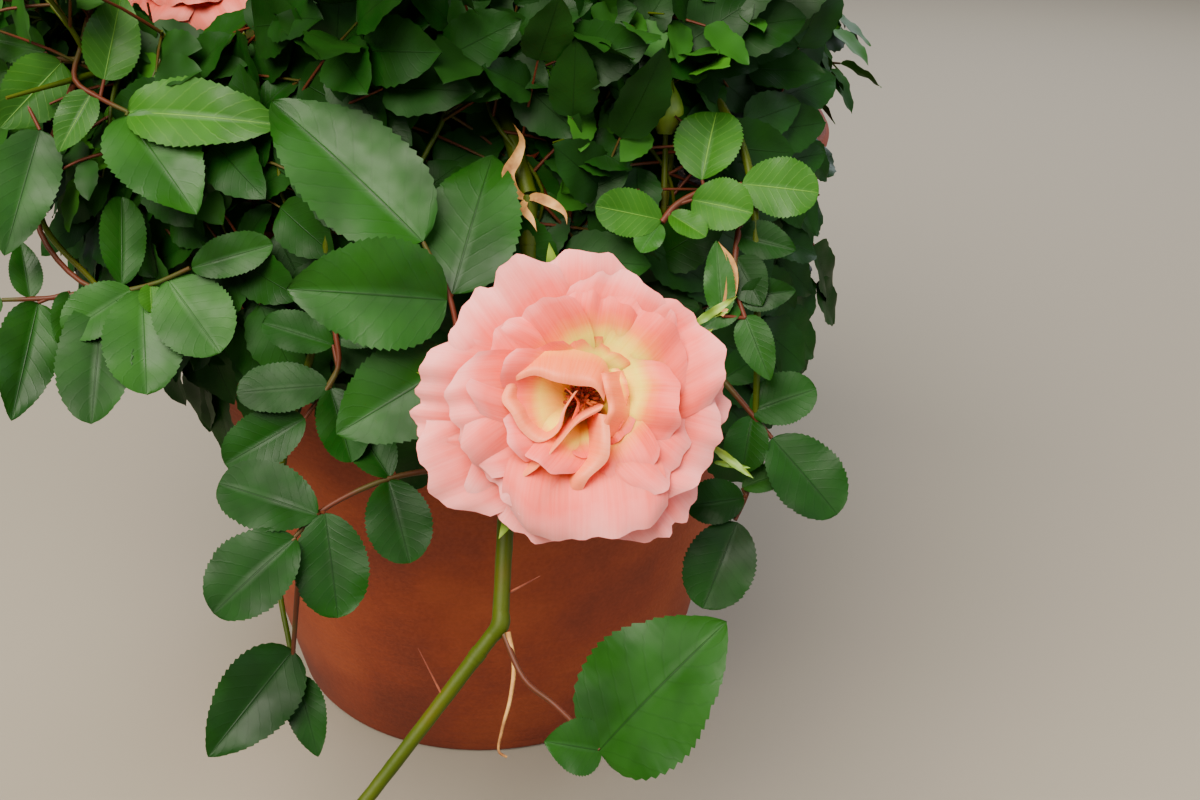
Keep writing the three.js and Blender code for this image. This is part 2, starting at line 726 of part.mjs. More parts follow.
for (const [name, parent, share, end] of [
  ["shoot_lower_front_left", "cane_upper_front", 0.5, entryOf("leaves_lower_front_left")],
  ["shoot_lower_front_right", "cane_upper_right_front", 0.5, entryOf("leaves_lower_front_right")],
  ["shoot_lower_right", "cane_upper_right_front", 0.7, entryOf("leaves_lower_right")],
  ["shoot_lower_right_back", "cane_upper_right_back", 0.5, entryOf("leaves_lower_right_back")],
  ["shoot_lower_back", "cane_upper_back", 0.5, entryOf("leaves_lower_back")],
  ["shoot_lower_left_back", "cane_upper_left_back", 0.5, entryOf("leaves_lower_left_back")],
  ["shoot_lower_left", "cane_upper_left_front", 0.5, entryOf("leaves_lower_left")],
  ["shoot_left_spray", "shoot_lower_left", 0.62, point(-134, -36, 318)],
  ["shoot_coral_bloom", "cane_upper_left_front", 0.86, point(-92, -20, 352)],
  ["shoot_front_left_spray", "cane_upper_front", 0.7, point(-27, -118, 312)],
  ["shoot_right_spray", "cane_upper_right_front", 0.84, point(86, -104, 318)],
]) {
  SHOOTS.push(shootTo(name, limbNamed(parent), share, end));
}

// The limb whose tip enters a mass.
function carrierOf(mass) {
  return [...CANES, ...SHOOTS].find((cane) => cane.points[cane.points.length - 1] === mass.entry);
}

// The sprays that hang in front of the pot. Every leaf of theirs has a stalk root, a stalk end
// and the tip of its end leaflet, and shows its face to the front. A share says where along
// its parent a spray leaves it; without one it leaves from the parent's tip or side.
const FRONT = point(0, -0.75, 0.66);
const TO_FRONT = point(0.02, -0.89, 0.4555);
const CORAL_FACING = point(0.1, -0.75, 0.65);

function placedLeaf(from, to, tip, size, pairs = LEAF_PAIRS, facing = FRONT) {
  return { from: point(...from), to: point(...to), tip: point(...tip), size, pairs, facing };
}

const SPRAYS = [
  {
    name: "bloom_shoot",
    parent: HANGING_CANE[1],
    stem: [[27, -182, 228], [38, -176, 216], [45.6, -180, 222], [46.4, -196, 231]],
    bloom: { place: [46.6, -214, 241], radius: BLOOM_RADIUS },
    leaves: [placedLeaf([38, -177, 217], [0.6, -185.2, 280.3], [-48.7, -158, 318], 50, [0.4, 0.74])],
  },
  {
    name: "low_leaf",
    parent: HANGING_CANE[1],
    stem: [[25, -190, 208], [14, -193, 207]],
    leaves: [placedLeaf([16, -192, 207], [-42, -219, 194], [-65.4, -236, 181], 33, [0.36, 0.8])],
  },
  {
    name: "hanging_leaf",
    parent: HANGING_CANE[2],
    stem: [[22.9, -222.4, 163.7], [32, -234, 150]],
    leaves: [placedLeaf([31, -233, 151], [55.9, -258.8, 141], [91.8, -253, 180.6], 26, [0.9])],
  },
  {
    name: "cane_end_leaves",
    parent: HANGING_CANE[2],
    stem: [[-50, -286, 93.5], [-64, -298, 84]],
    leaves: [
      placedLeaf([-62, -297, 85], [-92, -312, 66], [-118, -322, 52], 26),
      placedLeaf([-60, -295, 86], [-66, -324, 62], [-70, -340, 42], 22, [0.6]),
    ],
  },
  {
    name: "front_left_spray",
    parent: limbNamed("shoot_front_left_spray"),
    stem: [
      [-27, -118, 312],
      [-31, -154, 292],
      [-37, -168, 248],
      [-53, -172, 198],
      [-57, -184, 155],
      [-51, -202, 138],
    ],
    leaves: [
      placedLeaf([-37, -168, 248], [-42, -183, 217], [-66, -194, 203], 28, [0.3, 0.75]),
      placedLeaf([-51, -202, 138], [-52, -204, 135], [-75, -230, 116], 26, []),
      placedLeaf([-51, -202, 138], [-49, -206, 130], [-41.4, -222.3, 109], 22, []),
      placedLeaf([-54, -174, 190], [-86, -186, 184], [-112, -196, 172], 26),
    ],
  },
  {
    name: "right_spray",
    parent: limbNamed("shoot_right_spray"),
    stem: [[86, -104, 318], [103, -148, 294], [106, -172, 252], [106, -187, 203]],
    leaves: [
      placedLeaf([105.5, -177, 238], [111.5, -188.5, 213], [132, -204, 195], 32, [0.5]),
      placedLeaf([106.2, -185.5, 206], [99, -199, 188], [88, -218, 168], 28, [0.24]),
      placedLeaf([105, -158, 276], [118, -176, 262], [128, -190, 242], 28, [0.4]),
    ],
  },
  {
    name: "left_spray",
    parent: limbNamed("shoot_left_spray"),
    stem: [[-134, -36, 318], [-142, -68, 301], [-144, -117, 266], [-118, -143, 248]],
    leaves: [
      placedLeaf([-142, -70, 300], [-120, -82, 292], [-66, -92, 288], 34, [0.6]),
      placedLeaf([-118, -143, 248], [-86, -146, 254], [-57, -146, 261], 28, [0.1, 0.75]),
      placedLeaf([-120, -142, 249], [-150, -149, 246], [-177, -156, 243], 30, [0.2, 0.8]),
      placedLeaf([-144, -112, 268], [-162, -122, 250], [-190, -136, 228], 32, [0.5]),
      placedLeaf([-140, -52, 312], [-172, -66, 300], [-204, -82, 282], 34, [0.55]),
    ],
  },
  {
    name: "bud_shoot",
    parent: limbNamed("shoot_right_spray"),
    share: 0.88,
    stem: [[80, -118, 300], [76, -144.5, 274], [76.5, -140, 284], [77, -131, 299]],
    bud: { place: [77, -129, 302], facing: [0.05, 0.2, 0.95] },
    leaves: [],
  },
  {
    name: "coral_bloom_shoot",
    parent: limbNamed("shoot_coral_bloom"),
    stem: [[-92, -20, 352], [-98, -22, 342], [-102, -29, 335]],
    bloom: { place: [-101, -42, 344], radius: SMALL_BLOOM_RADIUS, small: true },
    leaves: [],
  },
];

// A closed bud: an egg on its narrow cup.
function budSolid({ place, facing }) {
  const profile = [[0, -5], [3, -4], [3.4, -1], [6, 4], [4.6, 10], [1.4, 15], [0, 16]];
  const axis = standing(point(...place), point(...facing));
  return lathe(profile, BUD_SIDES).transform(axis.elements);
}

// The open space that a bloom keeps in front of its face.
function clearSpace(place, facing, radius) {
  const length = 1.6 * radius;
  const space = new THREE.CylinderGeometry(0.9 * radius, 0.9 * radius, length, 12);
  space.rotateX(Math.PI / 2).translate(0, 0, 0.6 * length);
  return solidFrom(space).transform(standing(place, facing).elements);
}

function sprayBloom({ place, radius, small }) {
  if (small) {
    return smallBloom(point(...place), CORAL_FACING, radius);
  }
  return largeBloom(point(...place), TO_FRONT, radius);
}

function spraySolid(spray) {
  const stem = spray.stem.map((place) => point(...place));
  if (spray.share) {
    stem.unshift(alongPath(spray.parent.points, spray.share).place);
  }
  const steps = 2 * (stem.length - 1);
  const pieces = [limb(stem, STEM_RADIUS, STEM_TIP_RADIUS, TWIG_SIDES, steps)];
  if (spray.bloom) {
    pieces.push(...sprayBloom(spray.bloom));
  }
  if (spray.bud) {
    pieces.push(budSolid(spray.bud));
  }
  for (const leaf of spray.leaves) {
    pieces.push(pinnateLeaf(leaf, 0));
  }
  const cut = pieces.reduce((a, b) => a.add(b)).subtract(caneSolid(spray.parent, CLEARANCE));
  return wholeBody(cut);
}

function sprayMaterial({ bloom }) {
  if (!bloom) {
    return material("leaf", COLOURS.leaf, 0.5);
  }
  return material("petal", bloom.small ? COLOURS.coral : COLOURS.bloom, 0.5);
}

function limbSolid(cane) {
  const parent = cane.parent ? caneSolid(cane.parent, CLEARANCE) : baseSolid(CLEARANCE);
  return wholeBody(caneSolid(cane).subtract(parent));
}

const group = new THREE.Group();
const blocked = new Neighbours();

function addNode(name, solid, meshMaterial) {
  group.add(meshOf(name, solid, meshMaterial));
  blocked.add(solid);
}

addNode("pot", potSolid(), material("terracotta", COLOURS.terracotta, 0.85));
addNode("soil", soilSolid(), material("potting soil", COLOURS.soil, 1));
addNode("crown_base", baseSolid(0), material("old bark", COLOURS.bark, 0.9));

for (const cane of [...CANES, ...HANGING_CANE, ...SHOOTS]) {
  addNode(cane.name, limbSolid(cane), material("green cane", COLOURS.cane, 0.55));
}

for (const spray of SPRAYS) {
  addNode(spray.name, spraySolid(spray), sprayMaterial(spray));
  if (spray.bloom) {
    const facing = spray.bloom.small ? CORAL_FACING : TO_FRONT;
    blocked.add(clearSpace(point(...spray.bloom.place), facing, spray.bloom.radius));
  }
}

for (const mass of MASSES) {
  addNode(mass.name, growMass(mass, blocked), material("leaf", COLOURS.leaf, 0.5));
}

export default group;
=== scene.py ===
# %% [markdown]
# A rose bush in a terracotta pot, dressed around its solid model. The solids give the pot, the
# canes and the room that each mass of leaves may fill. Here every one of them gets its real
# surface: leaves with toothed edges and veins, ruffled petals, thorny canes and weathered clay.

# %% Load the frame
import math

import bpy
import numpy as np
from mathutils import Matrix, Vector


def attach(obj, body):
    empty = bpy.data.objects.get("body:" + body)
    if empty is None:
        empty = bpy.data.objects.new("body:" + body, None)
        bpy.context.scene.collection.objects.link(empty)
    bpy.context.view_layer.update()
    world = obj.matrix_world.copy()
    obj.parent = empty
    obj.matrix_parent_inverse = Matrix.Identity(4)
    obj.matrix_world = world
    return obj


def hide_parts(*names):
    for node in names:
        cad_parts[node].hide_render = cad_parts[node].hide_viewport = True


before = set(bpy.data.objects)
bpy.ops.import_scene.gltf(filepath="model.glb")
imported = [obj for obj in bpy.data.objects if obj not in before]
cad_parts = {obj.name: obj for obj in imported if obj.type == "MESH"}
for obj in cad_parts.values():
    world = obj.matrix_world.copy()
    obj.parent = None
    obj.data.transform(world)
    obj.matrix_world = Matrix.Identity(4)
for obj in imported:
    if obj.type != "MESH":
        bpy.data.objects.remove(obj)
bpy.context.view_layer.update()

node_names = sorted(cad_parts)
print("frame:", len(node_names), "solids")

# %% [markdown]
# Blender works in metres, and a plant is easier to think of in millimetres. So all sizes and
# places below are millimetres, and one factor turns them into metres when a mesh is made.

# %% Units and colours
MM = 0.001


def colour(hex_code):
    """An sRGB hex value as the linear colour that a shader wants."""
    def linear(value):
        return value / 12.92 if value <= 0.04045 else ((value + 0.055) / 1.055) ** 2.4

    parts = [int(hex_code[i:i + 2], 16) / 255 for i in (1, 3, 5)]
    return [linear(part) for part in parts] + [1.0]


def deselect_all():
    bpy.ops.object.select_all(action="DESELECT")


deselect_all()
print("one millimetre is", MM, "metres")

# %% [markdown]
# Every material is a small tree of nodes. One helper adds a node, sets its values and joins its
# inputs, so a material can be read from top to bottom like a recipe. Most surfaces of a plant are
# patchy, so patches in a few tones have a helper too.

# %% Helpers for materials


def add_node(tree, kind, settings=None, stops=(), **inputs):
    """A node with its settings, and its inputs set to a value or linked to another's output.

    A hex value is turned into a colour. Stops are a colour ramp's places and hex colours.
    """
    node = tree.nodes.new(kind)
    for key, value in (settings or {}).items():
        setattr(node, key, value)
    if stops:
        elements = node.color_ramp.elements
        while len(elements) < len(stops):
            elements.new(0.5)
        for element, (place, code) in zip(elements, stops):
            element.position = place
            element.color = colour(code)
    for key, value in inputs.items():
        socket = node.inputs[int(key[1:])] if key[0] == "_" else node.inputs[key.replace("_", " ")]
        if isinstance(value, bpy.types.NodeSocket):
            tree.links.new(value, socket)
        else:
            socket.default_value = colour(value) if isinstance(value, str) else value
    return node


def new_material(name, **values):
    """A Principled material. The values are set on the shader's own sockets."""
    material = bpy.data.materials.new(name)
    material.use_nodes = True
    shader = material.node_tree.nodes["Principled BSDF"]
    for key, value in values.items():
        shader.inputs[key.replace("_", " ")].default_value = value
    return material, material.node_tree, shader


def blotches(tree, size_mm, detail, roughness=0.55):
    """Soft blotches about size_mm across that stay fixed to the plant, as values from 0 to 1."""
    place = add_node(tree, "ShaderNodeTexCoord").outputs["Object"]
    return add_node(tree, "ShaderNodeTexNoise", Vector=place, Scale=1000 / size_mm, Detail=detail,
                    Roughness=roughness).outputs["Fac"]


def patches(tree, size_mm, detail, stops, roughness=0.55):
    """Patches about size_mm across, in tones given as stops."""
    return add_node(tree, "ShaderNodeValToRGB", stops=stops,
                    _0=blotches(tree, size_mm, detail, roughness)).outputs["Color"]


def fibres(tree, place, sizes, detail):
    """Blotches drawn out into streaks, by their size along each axis of the place they read."""
    scale = [1 / size for size in sizes]
    drawn = add_node(tree, "ShaderNodeMapping", Vector=place, Scale=scale).outputs["Vector"]
    return add_node(tree, "ShaderNodeTexNoise", Vector=drawn, Scale=1.0, Detail=detail).outputs["Fac"]


def paint(tree, shader, tone):
    """Colour a shader by another node's output."""
    tree.links.new(tone, shader.inputs["Base Color"])


def relief(tree, shader, height, distance_mm, strength=1.0):
    """A bump on the shader, from a height between 0 and 1."""
    bump = add_node(tree, "ShaderNodeBump", Strength=strength, Distance=distance_mm * MM,
                    Height=height)
    tree.links.new(bump.outputs["Normal"], shader.inputs["Normal"])


# %% [markdown]
# Terracotta is clay fired without a glaze. It is thrown on a wheel, so it has faint rings, and
# its pores drink water, which leaves it mottled: darker where damp, with a chalky bloom where
# lime has dried on it. It scatters light, so its roughness is high.

# %% Material: terracotta
RING_SIZES = (500, 500, 3.846)
terracotta, tree, shader = new_material("terracotta, fired and unglazed", Roughness=0.82, IOR=1.5)
clay = patches(tree, 55, 5.0, [(0.3, "#6a250a"), (0.5, "#85320e"), (0.68, "#984218")])
lime = patches(tree, 21, 6.0, [(0.6, "#000000"), (0.78, "#4a4a4a")], 0.7)
clay = add_node(tree, "ShaderNodeMix", {"data_type": "RGBA"}, _0=lime, _6=clay, _7="#a8735a").outputs[2]
grain = blotches(tree, 1.6, 3.0)
specks = add_node(tree, "ShaderNodeValToRGB", stops=[(0.35, "#4e1a0a"), (0.7, "#95472c")], _0=grain)
clay = add_node(tree, "ShaderNodeMix", {"data_type": "RGBA"}, _0=0.18, _6=clay,
                _7=specks.outputs["Color"]).outputs[2]
paint(tree, shader, clay)
place = add_node(tree, "ShaderNodeTexCoord").outputs["Object"]
rings = fibres(tree, place, [size * MM for size in RING_SIZES], 2.0)
uneven = add_node(tree, "ShaderNodeMath", {"operation": "MULTIPLY_ADD"}, _0=grain, _1=0.5, _2=rings)
relief(tree, shader, uneven.outputs["Value"], 0.5, 0.7)
print(terracotta.name)

# %% [markdown]
# Potting soil is composted bark and peat: dark crumbs from a millimetre to a centimetre, with
# paler bits of bark among them. Cells of a Voronoi pattern are a good stand-in for crumbs.

# %% Material: potting soil
CRUMB_SIZE = 6
soil_mix, tree, shader = new_material("potting soil, composted bark", Roughness=0.95)
place = add_node(tree, "ShaderNodeTexCoord").outputs["Object"]
crumbs = add_node(tree, "ShaderNodeTexVoronoi", Vector=place, Scale=1000 / CRUMB_SIZE)
bits = add_node(tree, "ShaderNodeSeparateColor", Color=crumbs.outputs["Color"]).outputs["Red"]
SOIL_TONES = [(0.1, "#1c130d"), (0.6, "#37261a"), (0.88, "#54392a"), (0.97, "#8a6a4c")]
paint(tree, shader, add_node(tree, "ShaderNodeValToRGB", stops=SOIL_TONES, _0=bits).outputs["Color"])
relief(tree, shader, crumbs.outputs["Distance"], 2.5)
print(soil_mix.name)

# %% [markdown]
# An old rose stem is grey-brown and cracked along its length. Young canes are smooth and green,
# reddish where the sun reaches them, and a fine stalk is mostly red. All three are wood with a
# skin, so they differ in colour and gloss more than in kind.

# %% Materials: bark, cane and stalk
CRACK_SIZES = (2.381, 2.381, 14.286)
bark, tree, shader = new_material("rose bark, old and cracked", Roughness=0.85)
place = add_node(tree, "ShaderNodeTexCoord").outputs["Object"]
cracks = fibres(tree, place, [size * MM for size in CRACK_SIZES], 6.0)
BARK_TONES = [(0.3, "#2f2416"), (0.5, "#6b5a3c"), (0.7, "#94835f")]
paint(tree, shader, add_node(tree, "ShaderNodeValToRGB", stops=BARK_TONES, _0=cracks).outputs["Color"])
relief(tree, shader, cracks, 1.2)

cane_skin, tree, shader = new_material("rose cane, green wood", Roughness=0.5, IOR=1.45,
                                       Specular_IOR_Level=0.2)
skin = patches(tree, 34, 3.0, [(0.3, "#2a3e02"), (0.55, "#414c04"), (0.72, "#524606")])
freckles = patches(tree, 1.1, 2.0, [(0.62, "#000000"), (0.75, "#6a6a6a")])
freckled = add_node(tree, "ShaderNodeMix", {"data_type": "RGBA"}, _0=freckles, _6=skin, _7="#222806")
paint(tree, shader, freckled.outputs[2])
relief(tree, shader, blotches(tree, 1.4, 3.0), 0.15, 0.6)

stalk_skin, tree, shader = new_material("leaf stalk, reddish", Roughness=0.5, Specular_IOR_Level=0.25)
paint(tree, shader, patches(tree, 25, 2.0, [(0.35, "#34440f"), (0.5, "#4c2610"), (0.7, "#582210")]))

dry_skin, tree, shader = new_material("dried bract, papery", Roughness=0.75)
paint(tree, shader, patches(tree, 7, 3.0, [(0.3, "#7a4a1c"), (0.55, "#b98845"), (0.75, "#d6ac6c")]))
print(bark.name, "|", cane_skin.name, "|", stalk_skin.name, "|", dry_skin.name)

# %% [markdown]
# A mature rose leaflet is dark green with a waxy skin: the gloss is broad, patchy and hazy, and
# its midrib and veins lie in creases, whose shade is painted as a darker vein tone. The young
# ones are yellower, with a pale midrib. The leaves that are seen close get their net of veins
# from their own UV map, where U runs from the stalk to the tip and V across the blade, with the
# midrib at 0.5. The crown's many leaves are too small for veins, so they have plain colours.

# %% Materials: leaves
VEIN_SLANT = 0.52
SIDE_VEINS = 9.0


def veined_leaf(name, deep, fresh, vein_tone_and_crease_shade, midrib_strength, shine):
    """A leaf skin whose veins follow the leaflet's UV map."""
    material, tree, shader = new_material(name, IOR=1.45, Specular_IOR_Level=shine,
                                          Coat_Weight=0.03, Coat_Roughness=0.4)
    uv = add_node(tree, "ShaderNodeUVMap", {"uv_map": "leaf"}).outputs["UV"]
    split = add_node(tree, "ShaderNodeSeparateXYZ", Vector=uv)
    beside = add_node(tree, "ShaderNodeMath", {"operation": "SUBTRACT"}, _0=split.outputs["Y"], _1=0.5)
    away = add_node(tree, "ShaderNodeMath", {"operation": "ABSOLUTE"}, _0=beside.outputs["Value"])
    away = away.outputs["Value"]
    # Side veins leave the midrib at a slant: the further out, the further along.
    slant = add_node(tree, "ShaderNodeMath", {"operation": "MULTIPLY_ADD"}, _0=away, _1=-VEIN_SLANT,
                     _2=split.outputs["X"])
    rows = add_node(tree, "ShaderNodeMath", {"operation": "MULTIPLY"}, _0=slant.outputs["Value"],
                    _1=SIDE_VEINS)
    saw = add_node(tree, "ShaderNodeMath", {"operation": "PINGPONG"}, _0=rows.outputs["Value"], _1=0.5)
    side_vein = add_node(tree, "ShaderNodeValToRGB", stops=[(0.0, "#808080"), (0.1, "#000000")],
                         _0=saw.outputs["Value"])
    midrib = add_node(tree, "ShaderNodeValToRGB", stops=[(0.004, "#ffffff"), (0.014, "#000000")], _0=away)
    net = add_node(tree, "ShaderNodeMath", {"operation": "MAXIMUM"}, _0=side_vein.outputs["Color"],
                   _1=midrib.outputs["Color"]).outputs["Value"]
    shown = add_node(tree, "ShaderNodeMath", {"operation": "MULTIPLY"}, _0=net, _1=midrib_strength)
    blade = patches(tree, 30, 3.0, [(0.36, deep), (0.64, fresh)])
    flecks = patches(tree, 2.2, 3.0, [(0.4, "#000000"), (0.75, "#3a3a3a")])
    blade = add_node(tree, "ShaderNodeMix", {"data_type": "RGBA"}, _0=flecks, _6=blade, _7=fresh)
    # The vein tone: on grown leaves a darker green, painted shade in the creases of the midrib and veins;
    # on young leaves a pale midrib.
    veined = add_node(tree, "ShaderNodeMix", {"data_type": "RGBA"}, _0=shown.outputs["Value"],
                      _6=blade.outputs[2], _7=vein_tone_and_crease_shade)
    paint(tree, shader, veined.outputs[2])
    # The wax is thicker in some places than in others, so the gloss comes in patches.
    wax = patches(tree, 14, 2.0, [(0.36, "#a4a4a4"), (0.64, "#cfcfcf")])
    tree.links.new(wax, shader.inputs["Roughness"])
    raised = add_node(tree, "ShaderNodeMath", {"operation": "SUBTRACT"}, _0=1.0, _1=net)
    relief(tree, shader, raised.outputs["Value"], 0.25, 0.5)
    return material


def plain_leaf(name, tone, other, roughness, shine):
    """A leaf skin with no veins, a little uneven from leaf to leaf."""
    material, tree, shader = new_material(name, Roughness=roughness, IOR=1.45,
                                          Specular_IOR_Level=shine)
    paint(tree, shader, patches(tree, 24, 2.0, [(0.38, tone), (0.62, other)]))
    return material


# The shade and deep skins are darker copies of the grown leaf's greens: painted shade for leaves that lie
# in shadow.
LEAF_SKINS = {
    "shade": veined_leaf("rose leaf, in the shade", "#0a2a04", "#123b08", "#0a2204", 0.4, 0.12),
    "deep": veined_leaf("rose leaf, darkened as painted shade", "#082a02", "#103e05", "#082005", 0.5, 0.15),
    "dark": veined_leaf("rose leaf, mature", "#0e3404", "#194809", "#0a2604", 0.6, 0.2),
    "mid": veined_leaf("rose leaf, grown", "#164406", "#23560c", "#0f3405", 0.45, 0.22),
    "young": veined_leaf("rose leaf, young", "#1d4a06", "#2c5f0d", "#6f9c36", 0.5, 0.2),
}
CROWN_SKINS = {
    # The mature crown skin also goes on every leaf deep in a mass, where its darkness is painted shade.
    "dark": plain_leaf("crown leaf, mature, and painted shade deep in the crown", "#0c2b05", "#153d09", 0.52, 0.16),
    "mid": plain_leaf("crown leaf, grown", "#164108", "#22530e", 0.54, 0.2),
    "young": plain_leaf("crown leaf, young", "#1f4e08", "#2f6410", 0.55, 0.2),
}
print("leaf skins:", len(LEAF_SKINS) + len(CROWN_SKINS))

# %% [markdown]
# A petal is thin and full of air, so light goes into it and comes out softened. Its colour runs
# from the claw at its root to the rim: yellow, then apricot, salmon and a paler pink edge. The
# petal's UV map carries that, with V along the petal. An attribute called depth says how much of
# the yellow a point keeps: more on inner petals, and more near the heart. The petals of the
# heart are apricot nearly to their edge, so they have a skin of their own.

# %% Materials: petals
# As shares of a petal: streaks less than a millimetre wide and half a petal long.
STREAK_SIZES = (1 / 60, 0.5, 1.0)


def petal_skin(name, claw, heart, blade, rim, edge):
    """A petal's skin, in five colours from its root to its rim."""
    material, tree, shader = new_material(name, Roughness=0.5, IOR=1.4, Subsurface_Weight=0.25,
                                          Subsurface_Scale=0.003, Sheen_Weight=0.12)
    shader.inputs["Subsurface Radius"].default_value = (1.0, 0.5, 0.35)
    uv = add_node(tree, "ShaderNodeUVMap", {"uv_map": "petal"}).outputs["UV"]
    split = add_node(tree, "ShaderNodeSeparateXYZ", Vector=uv)
    depth = add_node(tree, "ShaderNodeAttribute", {"attribute_name": "depth"}).outputs["Fac"]
    # An inner petal reads the ramp from nearer the root, and noise makes the bands uneven.
    shift = add_node(tree, "ShaderNodeMath", {"operation": "MULTIPLY_ADD"}, _0=depth, _1=-0.8,
                     _2=split.outputs["Y"])
    wobble = add_node(tree, "ShaderNodeMath", {"operation": "MULTIPLY_ADD"}, _0=blotches(tree, 16, 3.0),
                      _1=0.3, _2=shift.outputs["Value"])
    along = add_node(tree, "ShaderNodeMath", {"operation": "SUBTRACT"}, _0=wobble.outputs["Value"],
                     _1=0.15)
    bands = [(0.0, claw), (0.25, heart), (0.47, blade), (0.74, rim), (0.98, edge)]
    tone = add_node(tree, "ShaderNodeValToRGB", stops=bands, _0=along.outputs["Value"])
    streaks = fibres(tree, uv, STREAK_SIZES, 3.0)
    faint = add_node(tree, "ShaderNodeValToRGB", stops=[(0.35, "#e0503a"), (0.65, "#ffd6c8")], _0=streaks)
    streaked = add_node(tree, "ShaderNodeMix", {"data_type": "RGBA"}, _0=0.07,
                        _6=tone.outputs["Color"], _7=faint.outputs["Color"])
    paint(tree, shader, streaked.outputs[2])
    relief(tree, shader, streaks, 0.2, 0.35)
    return material


pink_petal = petal_skin("rose petal, salmon pink", "#ffe02c", "#ff7a18", "#fb4e30", "#fb5a4c", "#ff9690")
heart_petal = petal_skin("rose petal, apricot", "#ffb016", "#ff6e0e", "#ff7028", "#ff8450", "#ffa486")
coral_petal = petal_skin("rose petal, coral", "#f08a1c", "#f04f22", "#ee4630", "#f15a44", "#f68674")
sepal_skin, tree, shader = new_material("sepal, yellow-green", Roughness=0.5)
paint(tree, shader, patches(tree, 8, 2.0, [(0.35, "#4d7a16"), (0.65, "#86a22c")]))
anther_skin, tree, shader = new_material("anther, ripe pollen", Roughness=0.8)
paint(tree, shader, patches(tree, 3, 2.0, [(0.35, "#4a1806"), (0.55, "#98380a"), (0.72, "#d0701a")]))
print(pink_petal.name, "|", heart_petal.name, "|", coral_petal.name)

# %% [markdown]
# Most of the plant is far too branched to model by hand, so its pieces are collected: each leaf
# or twig adds its points and faces to a pile, and one pile becomes one mesh. A piece made this
# way has its place in its mesh, and its object stays at the origin.

# %% Helpers for piles of parts


class Pile:
    """Points, faces and UVs that will be one piece."""

    def __init__(self):
        self.points = []
        self.faces = []
        self.uvs = []
        self.depths = []
        self.count = 0

    def add(self, points, faces, uvs, depth=0.0):
        """points is an array in mm, and uvs has one pair for each of them."""
        self.points.append(points)
        self.faces.append(faces + self.count)
        self.uvs.append(uvs)
        self.depths.append(np.full(len(points), depth))
        self.count += len(points)

    def triangles(self):
        """How many triangles the pile comes to."""
        return sum(len(faces) * (faces.shape[1] - 2) for faces in self.faces)


def place_piece(piece, material, nodes):
    """The last steps of every piece: its material, slot, body and the solids it stands for."""
    piece.data.materials.clear()
    piece.data.materials.append(material)
    if nodes:
        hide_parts(*nodes)
    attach(piece, "root")
    piece.select_set(False)


def piece_from(pile, name, material, nodes=(), uv_name="leaf"):
    """One mesh object from a pile."""
    points = np.concatenate(pile.points) * MM
    faces = [face for group in pile.faces for face in group.tolist()]
    mesh = bpy.data.meshes.new(name)
    mesh.from_pydata(points.tolist(), [], faces)
    corners = np.empty(len(mesh.loops), dtype=np.int32)
    mesh.loops.foreach_get("vertex_index", corners)
    layer = mesh.uv_layers.new(name=uv_name)
    layer.data.foreach_set("uv", np.concatenate(pile.uvs)[corners].astype(np.float32).ravel())
    depth = mesh.attributes.new("depth", "FLOAT", "POINT")
    depth.data.foreach_set("value", np.concatenate(pile.depths).astype(np.float32))
    mesh.polygons.foreach_set("use_smooth", [True] * len(mesh.polygons))
    mesh.validate()
    piece = bpy.data.objects.new(name, mesh)
    bpy.context.scene.collection.objects.link(piece)
    place_piece(piece, material, nodes)
    print(name, "has", pile.triangles(), "triangles")


def grid_faces(rows, columns, closed=False):
    """The quads of a grid of points, row by row. A closed one joins its last column to its first."""
    steps = columns if closed else columns - 1
    row, column = np.meshgrid(np.arange(rows - 1), np.arange(steps), indexing="ij")
    a = row * columns + column
    b = row * columns + (column + 1) % columns
    return np.stack([a, b, b + columns, a + columns], axis=-1).reshape(-1, 4)


# %% [markdown]
# The camera stands where the picture was taken from: a little right of the pot, above the rim,
# and looking down at it. Once it is known, a spot in the photograph and its distance give a place
# on the plant, which is how the leaves in front are put where they belong.

# %% Camera
CAMERA_PLACE = Vector((55, -590, 433))
CAMERA_TILT = math.radians(27.1)
IMAGE_SIZE = (1200, 800)
FOCAL_PIXELS = 1400
SENSOR_WIDTH = 36
FORWARD = Vector((0, math.cos(CAMERA_TILT), -math.sin(CAMERA_TILT)))
UPWARD = Vector((0, math.sin(CAMERA_TILT), math.cos(CAMERA_TILT)))
X_AXIS = Vector((1, 0, 0))
Z_AXIS = Vector((0, 0, 1))


def seen_at(x, y, distance):
    """The place in mm that shows at pixel x, y when it lies that far along the view."""
    across = (x - IMAGE_SIZE[0] / 2) / FOCAL_PIXELS * distance
    above = (IMAGE_SIZE[1] / 2 - y) / FOCAL_PIXELS * distance
    return CAMERA_PLACE + FORWARD * distance + X_AXIS * across + UPWARD * above


camera_data = bpy.data.cameras.new("camera")
camera_data.lens = FOCAL_PIXELS / IMAGE_SIZE[0] * SENSOR_WIDTH
camera_data.sensor_width = SENSOR_WIDTH
camera = bpy.data.objects.new("camera", camera_data)
camera.location = CAMERA_PLACE * MM
camera.rotation_euler = (math.pi / 2 - CAMERA_TILT, 0, 0)
bpy.context.scene.collection.objects.link(camera)
bpy.context.scene.camera = camera
print("camera lens", round(camera_data.lens, 1), "mm")

# %% [markdown]
# The pot was thrown on a wheel, and Spin is Blender's wheel: one outline is turned round the
# axis. The outline is extruded point by point in edit mode, then spun and closed up. The four
# drain holes are drilled with a Boolean modifier each, and a plain cylinder is the drill.

